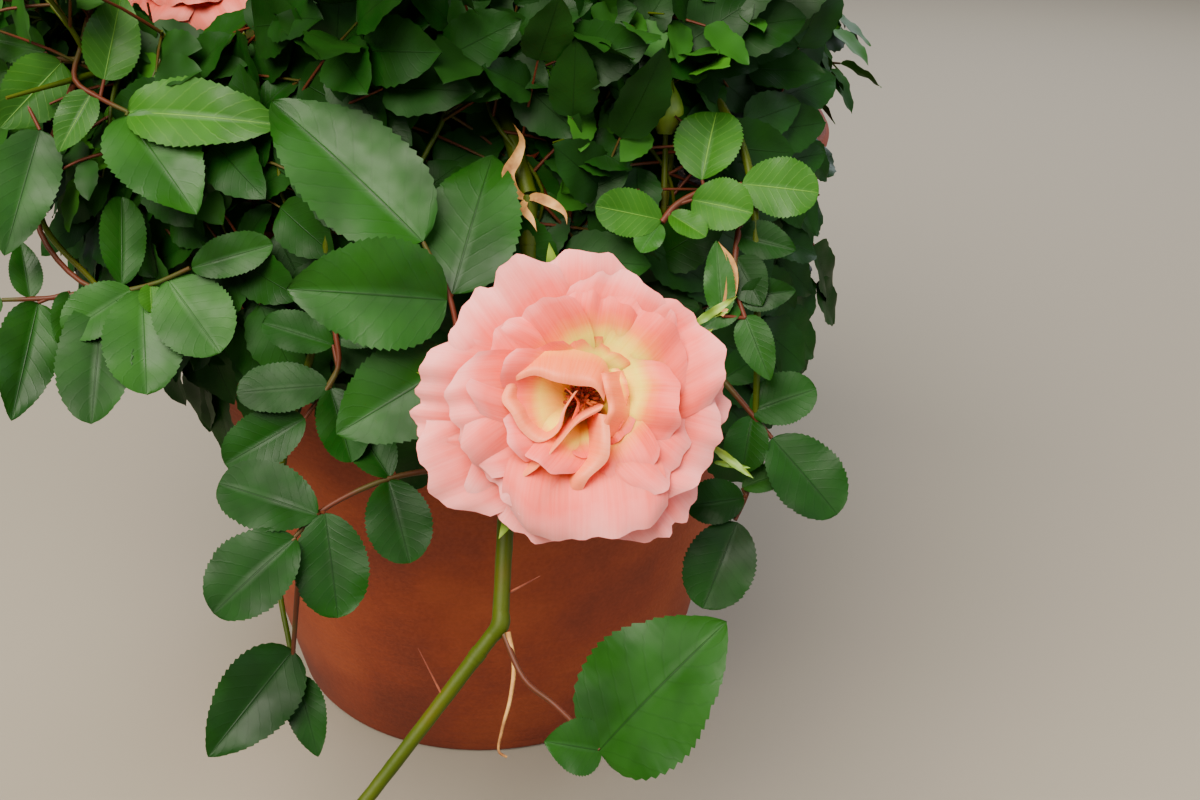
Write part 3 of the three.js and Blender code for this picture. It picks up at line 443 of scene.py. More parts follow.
# %% The pot
POT_HEIGHT = 270
POT_BASE_RADIUS = 96
POT_BODY_RADIUS = 137
RIM_RADIUS = 152
RIM_HEIGHT = 45
RIM_STEP = 7.5
POT_WALL = 9
POT_FLOOR = 12
POT_TURNS = 128
DRAIN_CIRCLE = 46
DRAIN_RADIUS = 6
DRAIN_HOLES = 4
DRILL_LENGTH = 40
DRILL_MIDDLE = 4
WELD = 0.02
SHARP_ANGLE = math.radians(35)
body_top = POT_HEIGHT - RIM_HEIGHT


def wall_inside(z):
    """The radius of the pot's inside at a height."""
    share = z / body_top
    return POT_BASE_RADIUS + (POT_BODY_RADIUS - POT_BASE_RADIUS) * share - POT_WALL


pot_outline = [
    (0, 0.8), (POT_BASE_RADIUS - 7, 0.8), (POT_BASE_RADIUS - 5, 0), (POT_BASE_RADIUS - 1.5, 0.2),
    (POT_BASE_RADIUS, 2.5), (112, 80), (126, 165), (POT_BODY_RADIUS - 0.5, body_top - 7),
    (POT_BODY_RADIUS - 0.2, body_top - 3), (POT_BODY_RADIUS + 1.2, body_top - 0.6),
    (POT_BODY_RADIUS + RIM_STEP - 2, body_top), (POT_BODY_RADIUS + RIM_STEP, body_top + 2),
    (148, body_top + 22), (RIM_RADIUS - 1, POT_HEIGHT - 7), (RIM_RADIUS - 0.2, POT_HEIGHT - 3),
    (RIM_RADIUS - 1.6, POT_HEIGHT - 0.5), (RIM_RADIUS - 4, POT_HEIGHT),
    (wall_inside(POT_HEIGHT) + 2, POT_HEIGHT), (wall_inside(POT_HEIGHT), POT_HEIGHT - 2.5),
    (wall_inside(200), 200), (wall_inside(POT_FLOOR), POT_FLOOR + 2), (0, POT_FLOOR),
]


def spun_piece(name, outline, turns):
    """A closed form turned from an outline of radius and height, in mm."""
    deselect_all()
    bpy.ops.mesh.primitive_plane_add(size=MM, location=(0, 0, 0))
    piece = bpy.context.object
    piece.name = name
    piece.data.name = name
    bpy.ops.object.mode_set(mode="EDIT")
    bpy.ops.mesh.select_all(action="SELECT")
    bpy.ops.mesh.merge(type="CENTER")
    radius, height = outline[0]
    bpy.ops.transform.translate(value=(radius * MM, 0, height * MM))
    for (r0, z0), (r1, z1) in zip(outline, outline[1:]):
        bpy.ops.mesh.extrude_region_move(
            TRANSFORM_OT_translate={"value": ((r1 - r0) * MM, 0, (z1 - z0) * MM)})
    bpy.ops.mesh.select_all(action="SELECT")
    bpy.ops.mesh.spin(steps=turns, angle=2 * math.pi, center=(0, 0, 0), axis=(0, 0, 1))
    bpy.ops.mesh.select_all(action="SELECT")
    bpy.ops.mesh.remove_doubles(threshold=WELD * MM)
    bpy.ops.mesh.normals_make_consistent(inside=False)
    bpy.ops.object.mode_set(mode="OBJECT")
    bpy.ops.object.shade_smooth_by_angle(angle=SHARP_ANGLE)
    return piece


pot = spun_piece("pot_thrown", pot_outline, POT_TURNS)
for i in range(DRAIN_HOLES):
    angle = 2 * math.pi * (i + 0.5) / DRAIN_HOLES
    spot = Vector((DRAIN_CIRCLE * math.cos(angle), DRAIN_CIRCLE * math.sin(angle), DRILL_MIDDLE))
    bpy.ops.mesh.primitive_cylinder_add(vertices=24, radius=DRAIN_RADIUS * MM,
                                        depth=DRILL_LENGTH * MM, location=spot * MM)
    drill = bpy.context.object
    cut = pot.modifiers.new("drain hole", "BOOLEAN")
    cut.operation = "DIFFERENCE"
    cut.object = drill
    deselect_all()
    bpy.context.view_layer.objects.active = pot
    bpy.ops.object.modifier_apply(modifier=cut.name)
    bpy.data.objects.remove(drill)
place_piece(pot, terracotta, ["pot"])
print("pot spun with", len(pot.data.polygons), "faces")

# %% [markdown]
# The soil lies a finger's width under the rim and sinks a little towards the wall. It is a spun
# form like the pot, with many rings on its top. Moving the points of the top up and down at
# random makes crumbs, and flat shading keeps their corners.

# %% The soil
SOIL_LEVEL = 243
SOIL_SINK = 5
SOIL_RINGS = 30
SOIL_TURNS = 110
SOIL_SEED = 5
CRUMB_DIP = 1.4
CRUMB_RISE = 1.2
CRUMB_ROOM = 1.5
BARE_MIDDLE = 30
CLEARANCE = 0.3


def soil_reach(z):
    """The radius of the soil at a height, a little inside the pot's wall."""
    return wall_inside(z) - 2 * CLEARANCE


soil_edge = SOIL_LEVEL - SOIL_SINK
edge_reach = soil_reach(soil_edge)
soil_outline = [(0, POT_FLOOR + CLEARANCE), (soil_reach(POT_FLOOR), POT_FLOOR + CLEARANCE),
                (edge_reach, soil_edge)]
for share in np.linspace(0.97, 0.03, SOIL_RINGS):
    sink = SOIL_SINK * share ** 3
    soil_outline.append((edge_reach * share, SOIL_LEVEL - CRUMB_ROOM - sink))
soil_outline.append((0, SOIL_LEVEL - CRUMB_ROOM))
soil = spun_piece("soil_crumbs", soil_outline, SOIL_TURNS)
rough = np.random.default_rng(SOIL_SEED)
for vertex in soil.data.vertices:
    reach = math.hypot(vertex.co.x, vertex.co.y)
    if vertex.co.z > (soil_edge - 1) * MM and BARE_MIDDLE * MM < reach < (edge_reach - 2) * MM:
        vertex.co.z += float(rough.uniform(-CRUMB_DIP, CRUMB_RISE)) * MM
bpy.ops.object.shade_flat()
place_piece(soil, soil_mix, ["soil"])
print("soil top at", round(max(v.co.z for v in soil.data.vertices) * 1000), "mm")

# %% [markdown]
# The masses stand where the solids have them: one on top, six in an upper ring and seven in a
# lower one. The canes that feed them leave the short crown base, and side shoots leave the
# canes. The rule and its sizes are those of the solid model, so each limb lies on its solid.

# %% The masses
BASE_HEIGHT = 52
BASE_RADIUS = 13
BASE_FLARE = 9
BASE_LEAN = 0.07
BASE_TOP = SOIL_LEVEL + BASE_HEIGHT
KNUCKLE_DROP = 16
KNUCKLE_EXIT = 24
CROWN_X = -30
CROWN_Y = 2
CROWN_FOOT = SOIL_LEVEL + 60
TOP_MASS = {"radius": 0, "height": 490, "reach": (92, 92, 85)}
UPPER_RING = {"radius": 108, "height": 408, "reach": (88, 88, 80)}
LOWER_RING = {"radius": 136, "height": 312, "reach": (70, 70, 66)}
CELL_MARGIN = 1.2
SMALL_BLOOM_RADIUS = 30
GOLDEN_ANGLE = math.radians(137.5)


def times(a, b):
    """Two triples multiplied number by number."""
    return Vector((a[0] * b[0], a[1] * b[1], a[2] * b[2]))


def mass_at(name, ring, azimuth, seed, bloom=0):
    """A mass at an azimuth of its ring, and the place where its shoot enters it."""
    angle = math.radians(azimuth)
    centre = Vector((CROWN_X + ring["radius"] * math.cos(angle),
                     CROWN_Y + ring["radius"] * math.sin(angle), ring["height"]))
    outward = (centre - Vector((0.5 * CROWN_X, 0, CROWN_FOOT))).normalized()
    entry = centre - 0.6 * times(outward, ring["reach"])
    return {"name": name, "centre": centre, "reach": ring["reach"], "seed": seed,
            "outward": outward, "entry": entry, "bloom": bloom}


MASSES = [
    mass_at("leaves_top", TOP_MASS, 0, 11, SMALL_BLOOM_RADIUS),
    mass_at("leaves_upper_front", UPPER_RING, 268, 21),
    mass_at("leaves_upper_right_front", UPPER_RING, 326, 22),
    mass_at("leaves_upper_right_back", UPPER_RING, 28, 23, SMALL_BLOOM_RADIUS),
    mass_at("leaves_upper_back", UPPER_RING, 88, 24),
    mass_at("leaves_upper_left_back", UPPER_RING, 148, 25, SMALL_BLOOM_RADIUS),
    mass_at("leaves_upper_left_front", UPPER_RING, 208, 26),
    mass_at("leaves_lower_front_left", LOWER_RING, 236, 31),
    mass_at("leaves_lower_front_right", LOWER_RING, 306, 32),
    mass_at("leaves_lower_right", LOWER_RING, 350, 33),
    mass_at("leaves_lower_right_back", LOWER_RING, 42, 34),
    mass_at("leaves_lower_back", LOWER_RING, 92, 35),
    mass_at("leaves_lower_left_back", LOWER_RING, 140, 36),
    mass_at("leaves_lower_left", LOWER_RING, 184, 37),
]
mass_named = {mass["name"]: mass for mass in MASSES}
print(len(MASSES), "masses")

# %% [markdown]
# A cane is a smooth curve through a few places. This is the centripetal Catmull-Rom curve, the
# kind that the solid model uses, cut into steps of equal length so that a taper is even.

# %% Curves
CURVE_STEPS = 24
PATH_STEPS = 40


def smooth_path(places, steps):
    """Places at equal steps along a centripetal curve through the given ones."""
    given = [Vector(place) for place in places]
    given = [2 * given[0] - given[1]] + given + [2 * given[-1] - given[-2]]
    fine = []
    for p0, p1, p2, p3 in zip(given, given[1:], given[2:], given[3:]):
        d0, d1, d2 = [max((b - a).length ** 0.5, 1e-4) for a, b in ((p0, p1), (p1, p2), (p2, p3))]
        t1 = ((p1 - p0) / d0 - (p2 - p0) / (d0 + d1) + (p2 - p1) / d1) * d1
        t2 = ((p2 - p1) / d1 - (p3 - p1) / (d1 + d2) + (p3 - p2) / d2) * d1
        for k in range(CURVE_STEPS):
            t = k / CURVE_STEPS
            fine.append(p1 + t1 * t + (3 * (p2 - p1) - 2 * t1 - t2) * t * t
                        + (2 * (p1 - p2) + t1 + t2) * t ** 3)
    fine.append(given[-2])
    gone = [0.0]
    for a, b in zip(fine, fine[1:]):
        gone.append(gone[-1] + (b - a).length)
    table = np.array([list(place) for place in fine])
    wanted = np.linspace(0, gone[-1], steps + 1)
    return np.stack([np.interp(wanted, gone, table[:, k]) for k in range(3)], axis=1)


def along_path(places, share):
    """The place at a share of a path, and the way the path runs there."""
    path = smooth_path(places, PATH_STEPS)
    index = min(int(share * PATH_STEPS), PATH_STEPS - 1)
    way = Vector(path[index + 1] - path[index]).normalized()
    return Vector(path[index]).lerp(Vector(path[index + 1]), share * PATH_STEPS - index), way


def add_tube(pile, places, start_radius, end_radius, sides, steps, ripple=0.0, seed=0,
             closed_ends=True, profile=None):
    """A tapering tube along a path. A ripple makes its skin uneven, and a profile swells it."""
    path = smooth_path(places, steps)
    ways = np.gradient(path, axis=0)
    ways /= np.linalg.norm(ways, axis=1)[:, None]
    side = np.cross(ways[0], [0.0, 0.0, 1.0])
    if np.linalg.norm(side) < 0.2:
        side = np.cross(ways[0], [1.0, 0.0, 0.0])
    rings = []
    turns = np.arange(sides) * 2 * math.pi / sides
    uneven = np.random.default_rng(seed)
    for i, (place, way) in enumerate(zip(path, ways)):
        side = side - way * np.dot(side, way)
        side /= np.linalg.norm(side)
        other = np.cross(way, side)
        radius = start_radius + (end_radius - start_radius) * i / steps
        radius = radius * (profile[i] if profile else 1)
        radii = radius * (1 + ripple * uneven.uniform(-1, 1, sides))
        spokes = np.cos(turns)[:, None] * side + np.sin(turns)[:, None] * other
        rings.append(place + radii[:, None] * spokes)
    points = np.concatenate(rings)
    uvs = np.stack([np.tile(np.arange(sides) / sides, steps + 1),
                    np.repeat(np.linspace(0, 1, steps + 1), sides)], axis=1)
    pile.add(points, grid_faces(steps + 1, sides, closed=True)[:, ::-1], uvs)
    if closed_ends:
        for end, order in ((0, 1), (steps * sides, -1)):
            middle = path[0] if end == 0 else path[-1]
            fan = np.concatenate([points[end:end + sides], [middle]])
            index = np.arange(sides)
            faces = np.stack([index, (index + 1) % sides, np.full(sides, sides)], axis=1)
            pile.add(fan, faces[:, ::order], np.full((sides + 1, 2), 0.5))


# %% [markdown]
# Canes, the hanging cane in three lengths, and the side shoots, all from the same few places
# that the solids were made from.

# %% The canes
CANE_RADII = (4.6, 2.8)
SHOOT_RADII = (3.4, 2.4)


def cane_to(name, mass):
    """A cane from the crown base, out and up to where it enters a mass."""
    end = mass["entry"]
    start = Vector((-2, 1, BASE_TOP - KNUCKLE_DROP))
    out = Vector((end.x - start.x, end.y - start.y, 0))
    leave = start + out.normalized() * KNUCKLE_EXIT + Vector((0, 0, 0.6 * KNUCKLE_DROP))
    knee = start + out * 0.55
    knee.z = start.z + 0.55 * (end.z - start.z)
    return {"name": name, "points": [start, leave, knee, end], "radii": CANE_RADII}


def shoot_to(name, parent, share, end):
    """A side shoot that leaves its parent at a share of its length."""
    place, _ = along_path(parent["points"], share)
    end = Vector(end)
    knee = place.lerp(end, 0.5) + Vector((0, 0, 0.1 * (end - place).length))
    return {"name": name, "points": [place, knee, end], "radii": SHOOT_RADII}


TOP_CANE = [Vector((-1, 0, BASE_TOP - KNUCKLE_DROP)), Vector((-8, 3, BASE_TOP + 60)),
            mass_named["leaves_top"]["entry"]]
CANES = [{"name": "cane_top", "radii": CANE_RADII, "points": TOP_CANE}]
for spot in ("front", "right_front", "right_back", "back", "left_back", "left_front"):
    CANES.append(cane_to("cane_upper_" + spot, mass_named["leaves_upper_" + spot]))
RIM_PASS = (32, -158, 286)
HANGING_NODE = (22.9, -222.4, 163.7)
HANGING_CANE = [
    {"name": "hanging_cane_rise", "radii": (4.2, 2.9),
     "points": [(0, -4, 264), (1, -30, 272), (8, -84, 296), (22, -132, 308), RIM_PASS]},
    {"name": "hanging_cane_fall", "radii": (2.9, 2.7),
     "points": [RIM_PASS, (31, -172, 255), (25.5, -189, 208), HANGING_NODE]},
    {"name": "hanging_cane_tip", "radii": (2.6, 1.9),
     "points": [HANGING_NODE, (-17.3, -254.9, 122.1), (-52, -288, 92)]},
]
limbs = {cane["name"]: cane for cane in CANES + HANGING_CANE}
LOWER_SHOOTS = [
    ("front_left", "cane_upper_front", 0.5), ("front_right", "cane_upper_right_front", 0.5),
    ("right", "cane_upper_right_front", 0.7), ("right_back", "cane_upper_right_back", 0.5),
    ("back", "cane_upper_back", 0.5), ("left_back", "cane_upper_left_back", 0.5),
    ("left", "cane_upper_left_front", 0.5),
]
SHOOTS = [("shoot_lower_" + side, parent, share, mass_named["leaves_lower_" + side]["entry"])
          for side, parent, share in LOWER_SHOOTS]
SHOOTS += [
    ("shoot_left_spray", "shoot_lower_left", 0.62, (-134, -36, 318)),
    ("shoot_coral_bloom", "cane_upper_left_front", 0.86, (-92, -20, 352)),
    ("shoot_front_left_spray", "cane_upper_front", 0.7, (-27, -118, 312)),
    ("shoot_right_spray", "cane_upper_right_front", 0.84, (86, -104, 318)),
]
for name, parent, share, end in SHOOTS:
    limbs[name] = shoot_to(name, limbs[parent], share, end)
print(len(limbs), "limbs")

# %% [markdown]
# A rose cane isn't an even rod: it swells at nodes where a leaf once sat, and it carries thorns,
# each turned on from the last by the golden angle. The lower lengths of the hanging cane have no
# thorns, as the picture shows, and a knuckle where they meet.

# %% Nodes and thorns
LIMB_SEED = 100
KNUCKLE_SEED = 97
THORN_GAP = 21
THORN_LENGTH = 5.5
SMOOTH_CANES = ("hanging_cane_fall", "hanging_cane_tip")
KNUCKLE_REACH = 5.5
KNUCKLE_SWELL = (0.92, 1.0, 1.08, 1.15, 1.18, 1.14, 1.06, 0.98, 0.9)


def add_thorn(pile, root, way, out, length):
    """A thorn: a wide flat foot that narrows to a tip bent back down the cane."""
    foot = root - out * 0.6
    tip = root + out * length - way * 0.35 * length
    add_tube(pile, [foot, root + out * 0.45 * length, tip], 0.34 * length, 0.05, 6, 5)


def add_cane(pile, thorns, cane, seed):
    """One limb with swollen nodes and its thorns."""
    random = np.random.default_rng(seed)
    places = cane["points"]
    length = sum((Vector(b) - Vector(a)).length for a, b in zip(places, places[1:]))
    steps = max(12, int(length / 3))
    add_tube(pile, places, cane["radii"][0], cane["radii"][1], 12, steps, 0.035, seed)
    for i in range(int(length / THORN_GAP)):
        share = (i + 0.35 + 0.4 * random.random()) * THORN_GAP / length
        if share > 0.97:
            break
        place, way = along_path(places, share)
        out = (way.cross(X_AXIS) if abs(way.x) < 0.9 else way.cross(Z_AXIS)).normalized()
        out.rotate(Matrix.Rotation(GOLDEN_ANGLE * i + seed, 3, way))
        radius = cane["radii"][0] + (cane["radii"][1] - cane["radii"][0]) * share
        if i % 3 == 0:
            ring = [place - way * 3.2, place, place + way * 3.2]
            add_tube(pile, ring, radius * 1.02, radius * 1.04, 12, 4, 0.02, seed + i)
            add_tube(pile, [place - way * 1.4, place + way * 1.4], radius * 1.13, radius * 1.1, 12, 2)
        size = THORN_LENGTH * (0.6 + 0.4 * random.random())
        if cane["name"] not in SMOOTH_CANES:
            add_thorn(thorns, place + out * radius * 0.8, way, out, size)


cane_pile = Pile()
thorn_pile = Pile()
for number, cane in enumerate(limbs.values()):
    add_cane(cane_pile, thorn_pile, cane, LIMB_SEED + number)
bend = Vector(HANGING_NODE)
arriving = (bend - Vector(HANGING_CANE[1]["points"][-2])).normalized()
leaving = (Vector(HANGING_CANE[2]["points"][1]) - bend).normalized()
add_tube(cane_pile, [bend - arriving * KNUCKLE_REACH, bend, bend + leaving * KNUCKLE_REACH],
         HANGING_CANE[1]["radii"][1], HANGING_CANE[2]["radii"][0], 14, len(KNUCKLE_SWELL) - 1,
         0.02, KNUCKLE_SEED, profile=KNUCKLE_SWELL)
piece_from(cane_pile, "canes", cane_skin, list(limbs), "cane")
thorn_skin, tree, shader = new_material("thorn, red-brown horn", Roughness=0.35)
paint(tree, shader, patches(tree, 5, 2.0, [(0.35, "#6e2a1a"), (0.65, "#985038")]))
piece_from(thorn_pile, "cane_thorns", thorn_skin, (), "cane")

# %% [markdown]
# The crown base is the knot of old wood that all canes leave. Its outline has the root flare, a
# waist and the knuckle. It is spun, cut finer by Subdivision Surface, and its skin is pushed in
# and out in ridges along its length, as old bark splits.

# %% The crown base
RIDGE_DEPTH = 0.035
deselect_all()
base_outline = [(0, 0), (BASE_RADIUS + BASE_FLARE, 0), (BASE_RADIUS + 0.35 * BASE_FLARE, 7),
                (BASE_RADIUS, 20), (BASE_RADIUS + 3.5, 34), (BASE_RADIUS + 1, 0.85 * BASE_HEIGHT),
                (0.55 * BASE_RADIUS, BASE_HEIGHT), (0, BASE_HEIGHT)]
base = spun_piece("crown_base_bark", base_outline, 40)
cutter = base.modifiers.new("finer", "SUBSURF")
cutter.levels = 2
cutter.render_levels = 2
bpy.context.view_layer.objects.active = base
bpy.ops.object.modifier_apply(modifier=cutter.name)
for vertex in base.data.vertices:
    angle = math.atan2(vertex.co.y, vertex.co.x)
    height = vertex.co.z / MM
    ridge = math.sin(9 * angle + 0.12 * height) + 0.6 * math.sin(17 * angle - 0.2 * height)
    out = 1 + RIDGE_DEPTH * ridge
    vertex.co.x = vertex.co.x * out - BASE_LEAN * vertex.co.z
    vertex.co.y = vertex.co.y * out - 0.6 * BASE_LEAN * vertex.co.z
    vertex.co.z += (SOIL_LEVEL + CLEARANCE) * MM
place_piece(base, bark, ["crown_base"])
print("crown base up to", round(max(v.co.z for v in base.data.vertices) * 1000), "mm")

# %% [markdown]
# A rose leaflet is an egg shape with a toothed edge, folded along its midrib and bent down
# towards its tip. Some leaves end in a point, others are blunt. One grid of points in leaf space,
# along and across, is bent into place for every leaflet: a fine grid for those in front, a
# coarse one for the crown.

# %% Leaflets


def leaf_grid(rows, columns, teeth, bite, swell=0.5, taper=0.8):
    """Places along (0 to 1) and across (-1 to 1) a leaflet, its half width there, and its faces."""
    s = np.linspace(0, 1, rows)
    across = np.linspace(-1, 1, columns)
    width = s ** swell * (1 - s) ** taper
    width = width / width.max()
    saw = (s * teeth) % 1.0
    width = width * (1 - bite * saw) + 0.004
    along, over = np.meshgrid(s, across, indexing="ij")
    half = np.repeat(width[:, None], columns, axis=1)
    uvs = np.stack([along.ravel(), 0.5 + 0.5 * over.ravel()], axis=1)
    return {"s": along.ravel(), "t": over.ravel(), "half": half.ravel(), "uvs": uvs,
            "faces": grid_faces(rows, columns)}


FINE_LEAF = leaf_grid(77, 13, 19, 0.07)
BLUNT_LEAF = leaf_grid(77, 13, 19, 0.07, 0.6, 0.52)
SHADE_LEAF_GRID = leaf_grid(17, 5, 8, 0.13)
CROWN_LEAF = leaf_grid(13, 5, 6, 0.17)
LEAFLET_WIDTH = 0.68
EDGE_WAVES = 2.3
PLEATS = 9
PLEAT_SLANT = 0.26


def add_leaflet(pile, grid, root, tip, facing, width=LEAFLET_WIDTH, fold=0.22, droop=0.1,
                wave=0.015, phase=0.0, veins=0.0):
    """A leaflet from root to tip, whose upper side looks towards facing."""
    root = np.array(root, dtype=float)
    tip = np.array(tip, dtype=float)
    along = tip - root
    length = float(np.linalg.norm(along))
    along /= length
    side = np.cross(np.array(facing, dtype=float), along)
    side /= np.linalg.norm(side)
    up = np.cross(along, side)
    s, t = grid["s"], grid["t"]
    half = 0.5 * width * length * grid["half"]
    sideways = t * half
    lift = fold * np.abs(sideways) - 0.35 * fold * sideways ** 2 / (0.5 * width * length)
    bend = -droop * length * (s ** 2 - 0.55 * s)
    ruffle = wave * length * np.sin(2 * math.pi * EDGE_WAVES * s + phase + t) * t ** 2
    swing = np.cos(2 * math.pi * PLEATS * (s - PLEAT_SLANT * np.abs(t)))
    pleat = 2 * veins * length * swing * np.abs(t) * (1 - np.abs(t))
    height = lift + bend + ruffle + pleat
    points = root + np.outer(s * length, along) + np.outer(sideways, side) + np.outer(height, up)
    pile.add(points, grid["faces"], grid["uvs"])


# %% [markdown]
# The leaves in front are the ones that the photograph shows well, so each leaflet is placed one
# by one: the spot of its root and of its tip in the picture, each with its distance from the
# camera, then its width for its length and its tone. The tone is how grown it is, or deep, a
# darker copy that paints shade on a leaflet lying in shadow. Each leaf's stalk is a short path.

# %% The leaves in front
LOOK_BACK = -FORWARD


def facing_camera(root, tilt_up, tilt_side):
    """The way a leaf in front looks: mostly to the camera, a little up to the light."""
    to_camera = (CAMERA_PLACE - Vector(root)).normalized()
    return (to_camera + Z_AXIS * tilt_up + X_AXIS * tilt_side).normalized()


BIG_LEAF = {
    "stalk": [(478, 452, 437), (470, 420, 431), (450, 298, 430), (423, 242, 430)],
    "leaflets": [
        ((423, 242, 430), (270, 95, 440), 0.54, "dark"),
        ((447, 300, 429), (287, 288, 415), 0.72, "dark"),
        ((452, 295, 431), (492, 152, 450), 0.66, "dark"),
        ((456, 362, 431), (336, 434, 425), 0.74, "dark"),
        ((466, 372, 434), (540, 300, 446), 0.7, "dark"),
    ],
}
LOW_LEAF = {
    "blunt": True,
    "stalk": [(486, 466, 459), (450, 468, 456), (385, 480, 452), (320, 512, 446), (290, 542, 440)],
    "leaflets": [
        ((296, 538, 440), (212, 612, 430), 0.8, "deep"),
        ((318, 515, 444), (218, 482, 445), 0.7, "deep"),
        ((325, 513, 444), (338, 618, 440), 0.72, "deep"),
        ((388, 480, 452), (410, 563, 447), 0.78, "deep"),
        ((390, 478, 452), (345, 410, 462), 0.6, "deep"),
    ],
}
SHADE_LEAF = {
    "blunt": True,
    "stalk": [(352, 262, 462), (335, 320, 455), (338, 368, 454), (305, 418, 454)],
    "leaflets": [
        ((305, 418, 454), (224, 464, 451), 0.66, "deep"),
        ((328, 385, 454), (236, 392, 451), 0.6, "deep"),
        ((330, 388, 454), (352, 462, 450), 0.66, "deep"),
        ((333, 345, 455), (262, 322, 453), 0.6, "deep"),
        ((335, 340, 455), (392, 322, 456), 0.6, "deep"),
    ],
}
HANGING_LEAFLETS = {
    "stalk": [(300, 560, 474), (296, 610, 478), (293, 655, 479)],
    "leaflets": [
        ((293, 650, 479), (208, 757, 465), 0.62, "deep"),
        ((298, 676, 480), (318, 757, 475), 0.5, "deep"),
    ],
}
RIGHT_LEAF = {
    "blunt": True,
    "stalk": [(716, 372, 464), (740, 400, 461), (772, 438, 458)],
    "leaflets": [
        ((772, 438, 458), (838, 514, 452), 0.75, "deep"),
        ((750, 412, 460), (816, 388, 456), 0.8, "deep"),
        ((752, 416, 460), (742, 472, 458), 0.8, "deep"),
        ((722, 380, 463), (772, 348, 466), 0.65, "deep"),
    ],
}
RIGHT_LOW_LEAF = {
    "blunt": True,
    "stalk": [(756, 455, 466), (746, 495, 463), (735, 520, 460)],
    "leaflets": [
        ((737, 522, 460), (703, 608, 452), 0.78, "deep"),
        ((744, 498, 462), (686, 506, 458), 0.78, "deep"),
        ((742, 488, 463), (790, 470, 462), 0.6, "mid"),
    ],
}
FOOT_LEAF = {
    "stalk": [(500, 625, 450), (525, 680, 443), (555, 705, 440), (600, 750, 428)],
    "leaflets": [
        ((598, 752, 428), (722, 621, 415), 0.78, "dark"),
        ((602, 751, 428), (545, 741, 424), 0.98, "dark"),
    ],
}
LEFT_TOP_LEAF = {
    "stalk": [(94, -6, 476), (82, 44, 469), (75, 80, 463), (100, 98, 461), (128, 112, 458)],
    "leaflets": [
        ((128, 112, 458), (281, 122, 450), 0.46, "young"),
        ((126, 116, 457), (196, 212, 448), 0.72, "mid"),
        ((104, 80, 463), (122, -8, 468), 0.6, "young"),
        ((92, 92, 462), (58, 152, 460), 0.6, "young"),
    ],
}
LEFT_LOW_LEAF = {
    "blunt": True,
    "stalk": [(74, 84, 466), (50, 145, 474), (36, 215, 478), (56, 258, 476), (98, 290, 472),
              (150, 285, 468), (190, 268, 465)],
    "leaflets": [
        ((192, 268, 465), (272, 244, 462), 0.52, "dark"),
        ((168, 280, 467), (220, 352, 460), 0.85, "mid"),
        ((122, 285, 470), (122, 196, 477), 0.5, "dark"),
        ((132, 290, 469), (64, 334, 462), 0.72, "mid"),
        ((142, 290, 468), (146, 392, 455), 0.72, "mid"),
        ((150, 284, 468), (152, 312, 464), 0.8, "young"),
        ((104, 296, 470), (90, 422, 452), 0.55, "dark"),
    ],
}
LEFT_EDGE_LEAF = {
    "stalk": [(98, 290, 474), (50, 298, 473), (2, 300, 470)],
    "leaflets": [
        ((38, 303, 472), (12, 420, 457), 0.5, "dark"),
        ((2, 300, 470), (-80, 330, 462), 0.55, "dark"),
        ((30, 298, 472), (20, 240, 478), 0.5, "dark"),
        ((70, 292, 473), (62, 350, 466), 0.5, "dark"),
    ],
}
LEFT_BACK_LEAF = {
    "stalk": [(80, 60, 469), (50, 60, 470), (10, 70, 468)],
    "leaflets": [
        ((62, 62, 469), (0, 128, 462), 0.7, "young"),
        ((40, 130, 464), (4, 255, 457), 0.5, "dark"),
        ((45, 52, 470), (-12, 38, 472), 0.7, "mid"),
        ((10, 70, 468), (-70, 92, 462), 0.6, "mid"),
    ],
}
BUD_LEAF = {
    "blunt": True,
    "stalk": [(662, 222, 452), (676, 205, 453), (705, 190, 454), (742, 184, 453)],
    "leaflets": [
        ((742, 184, 453), (819, 192, 450), 0.82, "young"),
        ((692, 200, 453), (752, 212, 444), 0.85, "young"),
        ((702, 180, 454), (716, 110, 460), 0.92, "young"),
        ((662, 220, 452), (596, 206, 447), 0.72, "young"),
        ((670, 214, 452), (706, 236, 444), 0.6, "young"),
        ((660, 224, 452), (640, 252, 448), 0.8, "mid"),
    ],
}
SIDE_LEAF = {
    "stalk": [(740, 222, 455), (735, 262, 452), (738, 296, 450), (745, 318, 448)],
    "leaflets": [
        ((745, 316, 448), (770, 380, 444), 0.55, "dark"),
        ((740, 298, 450), (796, 290, 448), 0.62, "deep"),
        ((738, 302, 450), (700, 330, 446), 0.6, "dark"),
        ((736, 258, 452), (762, 306, 447), 0.8, "deep"),
        ((738, 236, 454), (796, 250, 450), 0.7, "deep"),
        ((722, 316, 447), (716, 240, 448), 0.42, "mid"),
    ],
}
FRONT_LEAVES = [BIG_LEAF, LOW_LEAF, SHADE_LEAF, HANGING_LEAFLETS, RIGHT_LEAF, RIGHT_LOW_LEAF,
                FOOT_LEAF, LEFT_TOP_LEAF, LEFT_LOW_LEAF, LEFT_EDGE_LEAF, LEFT_BACK_LEAF, BUD_LEAF,
                SIDE_LEAF]
# Dried bracts on the hanging cane, and the dry edge of the leaf under the bud.
DRIED_BRACTS = [
    [(527, 199, 450), (514, 191, 446), (508, 174, 445), (517, 157, 446), (522, 140, 447), (513, 123, 448)],
    [(527, 199, 450), (536, 197, 446), (555, 205, 443), (565, 214, 441), (567, 225, 440)],
    [(527, 199, 450), (523, 208, 445), (532, 220, 443), (537, 232, 441)],
    [(722, 316, 446), (731, 290, 446), (731, 262, 447), (718, 241, 447)],
]

print("leaflets in front:", sum(len(leaf["leaflets"]) for leaf in FRONT_LEAVES))

# %% [markdown]
# Each of those leaves is a tube for its stalk and a bent grid for each leaflet. Fold, droop and
# tilt differ a little from leaflet to leaflet, as sines of its number.

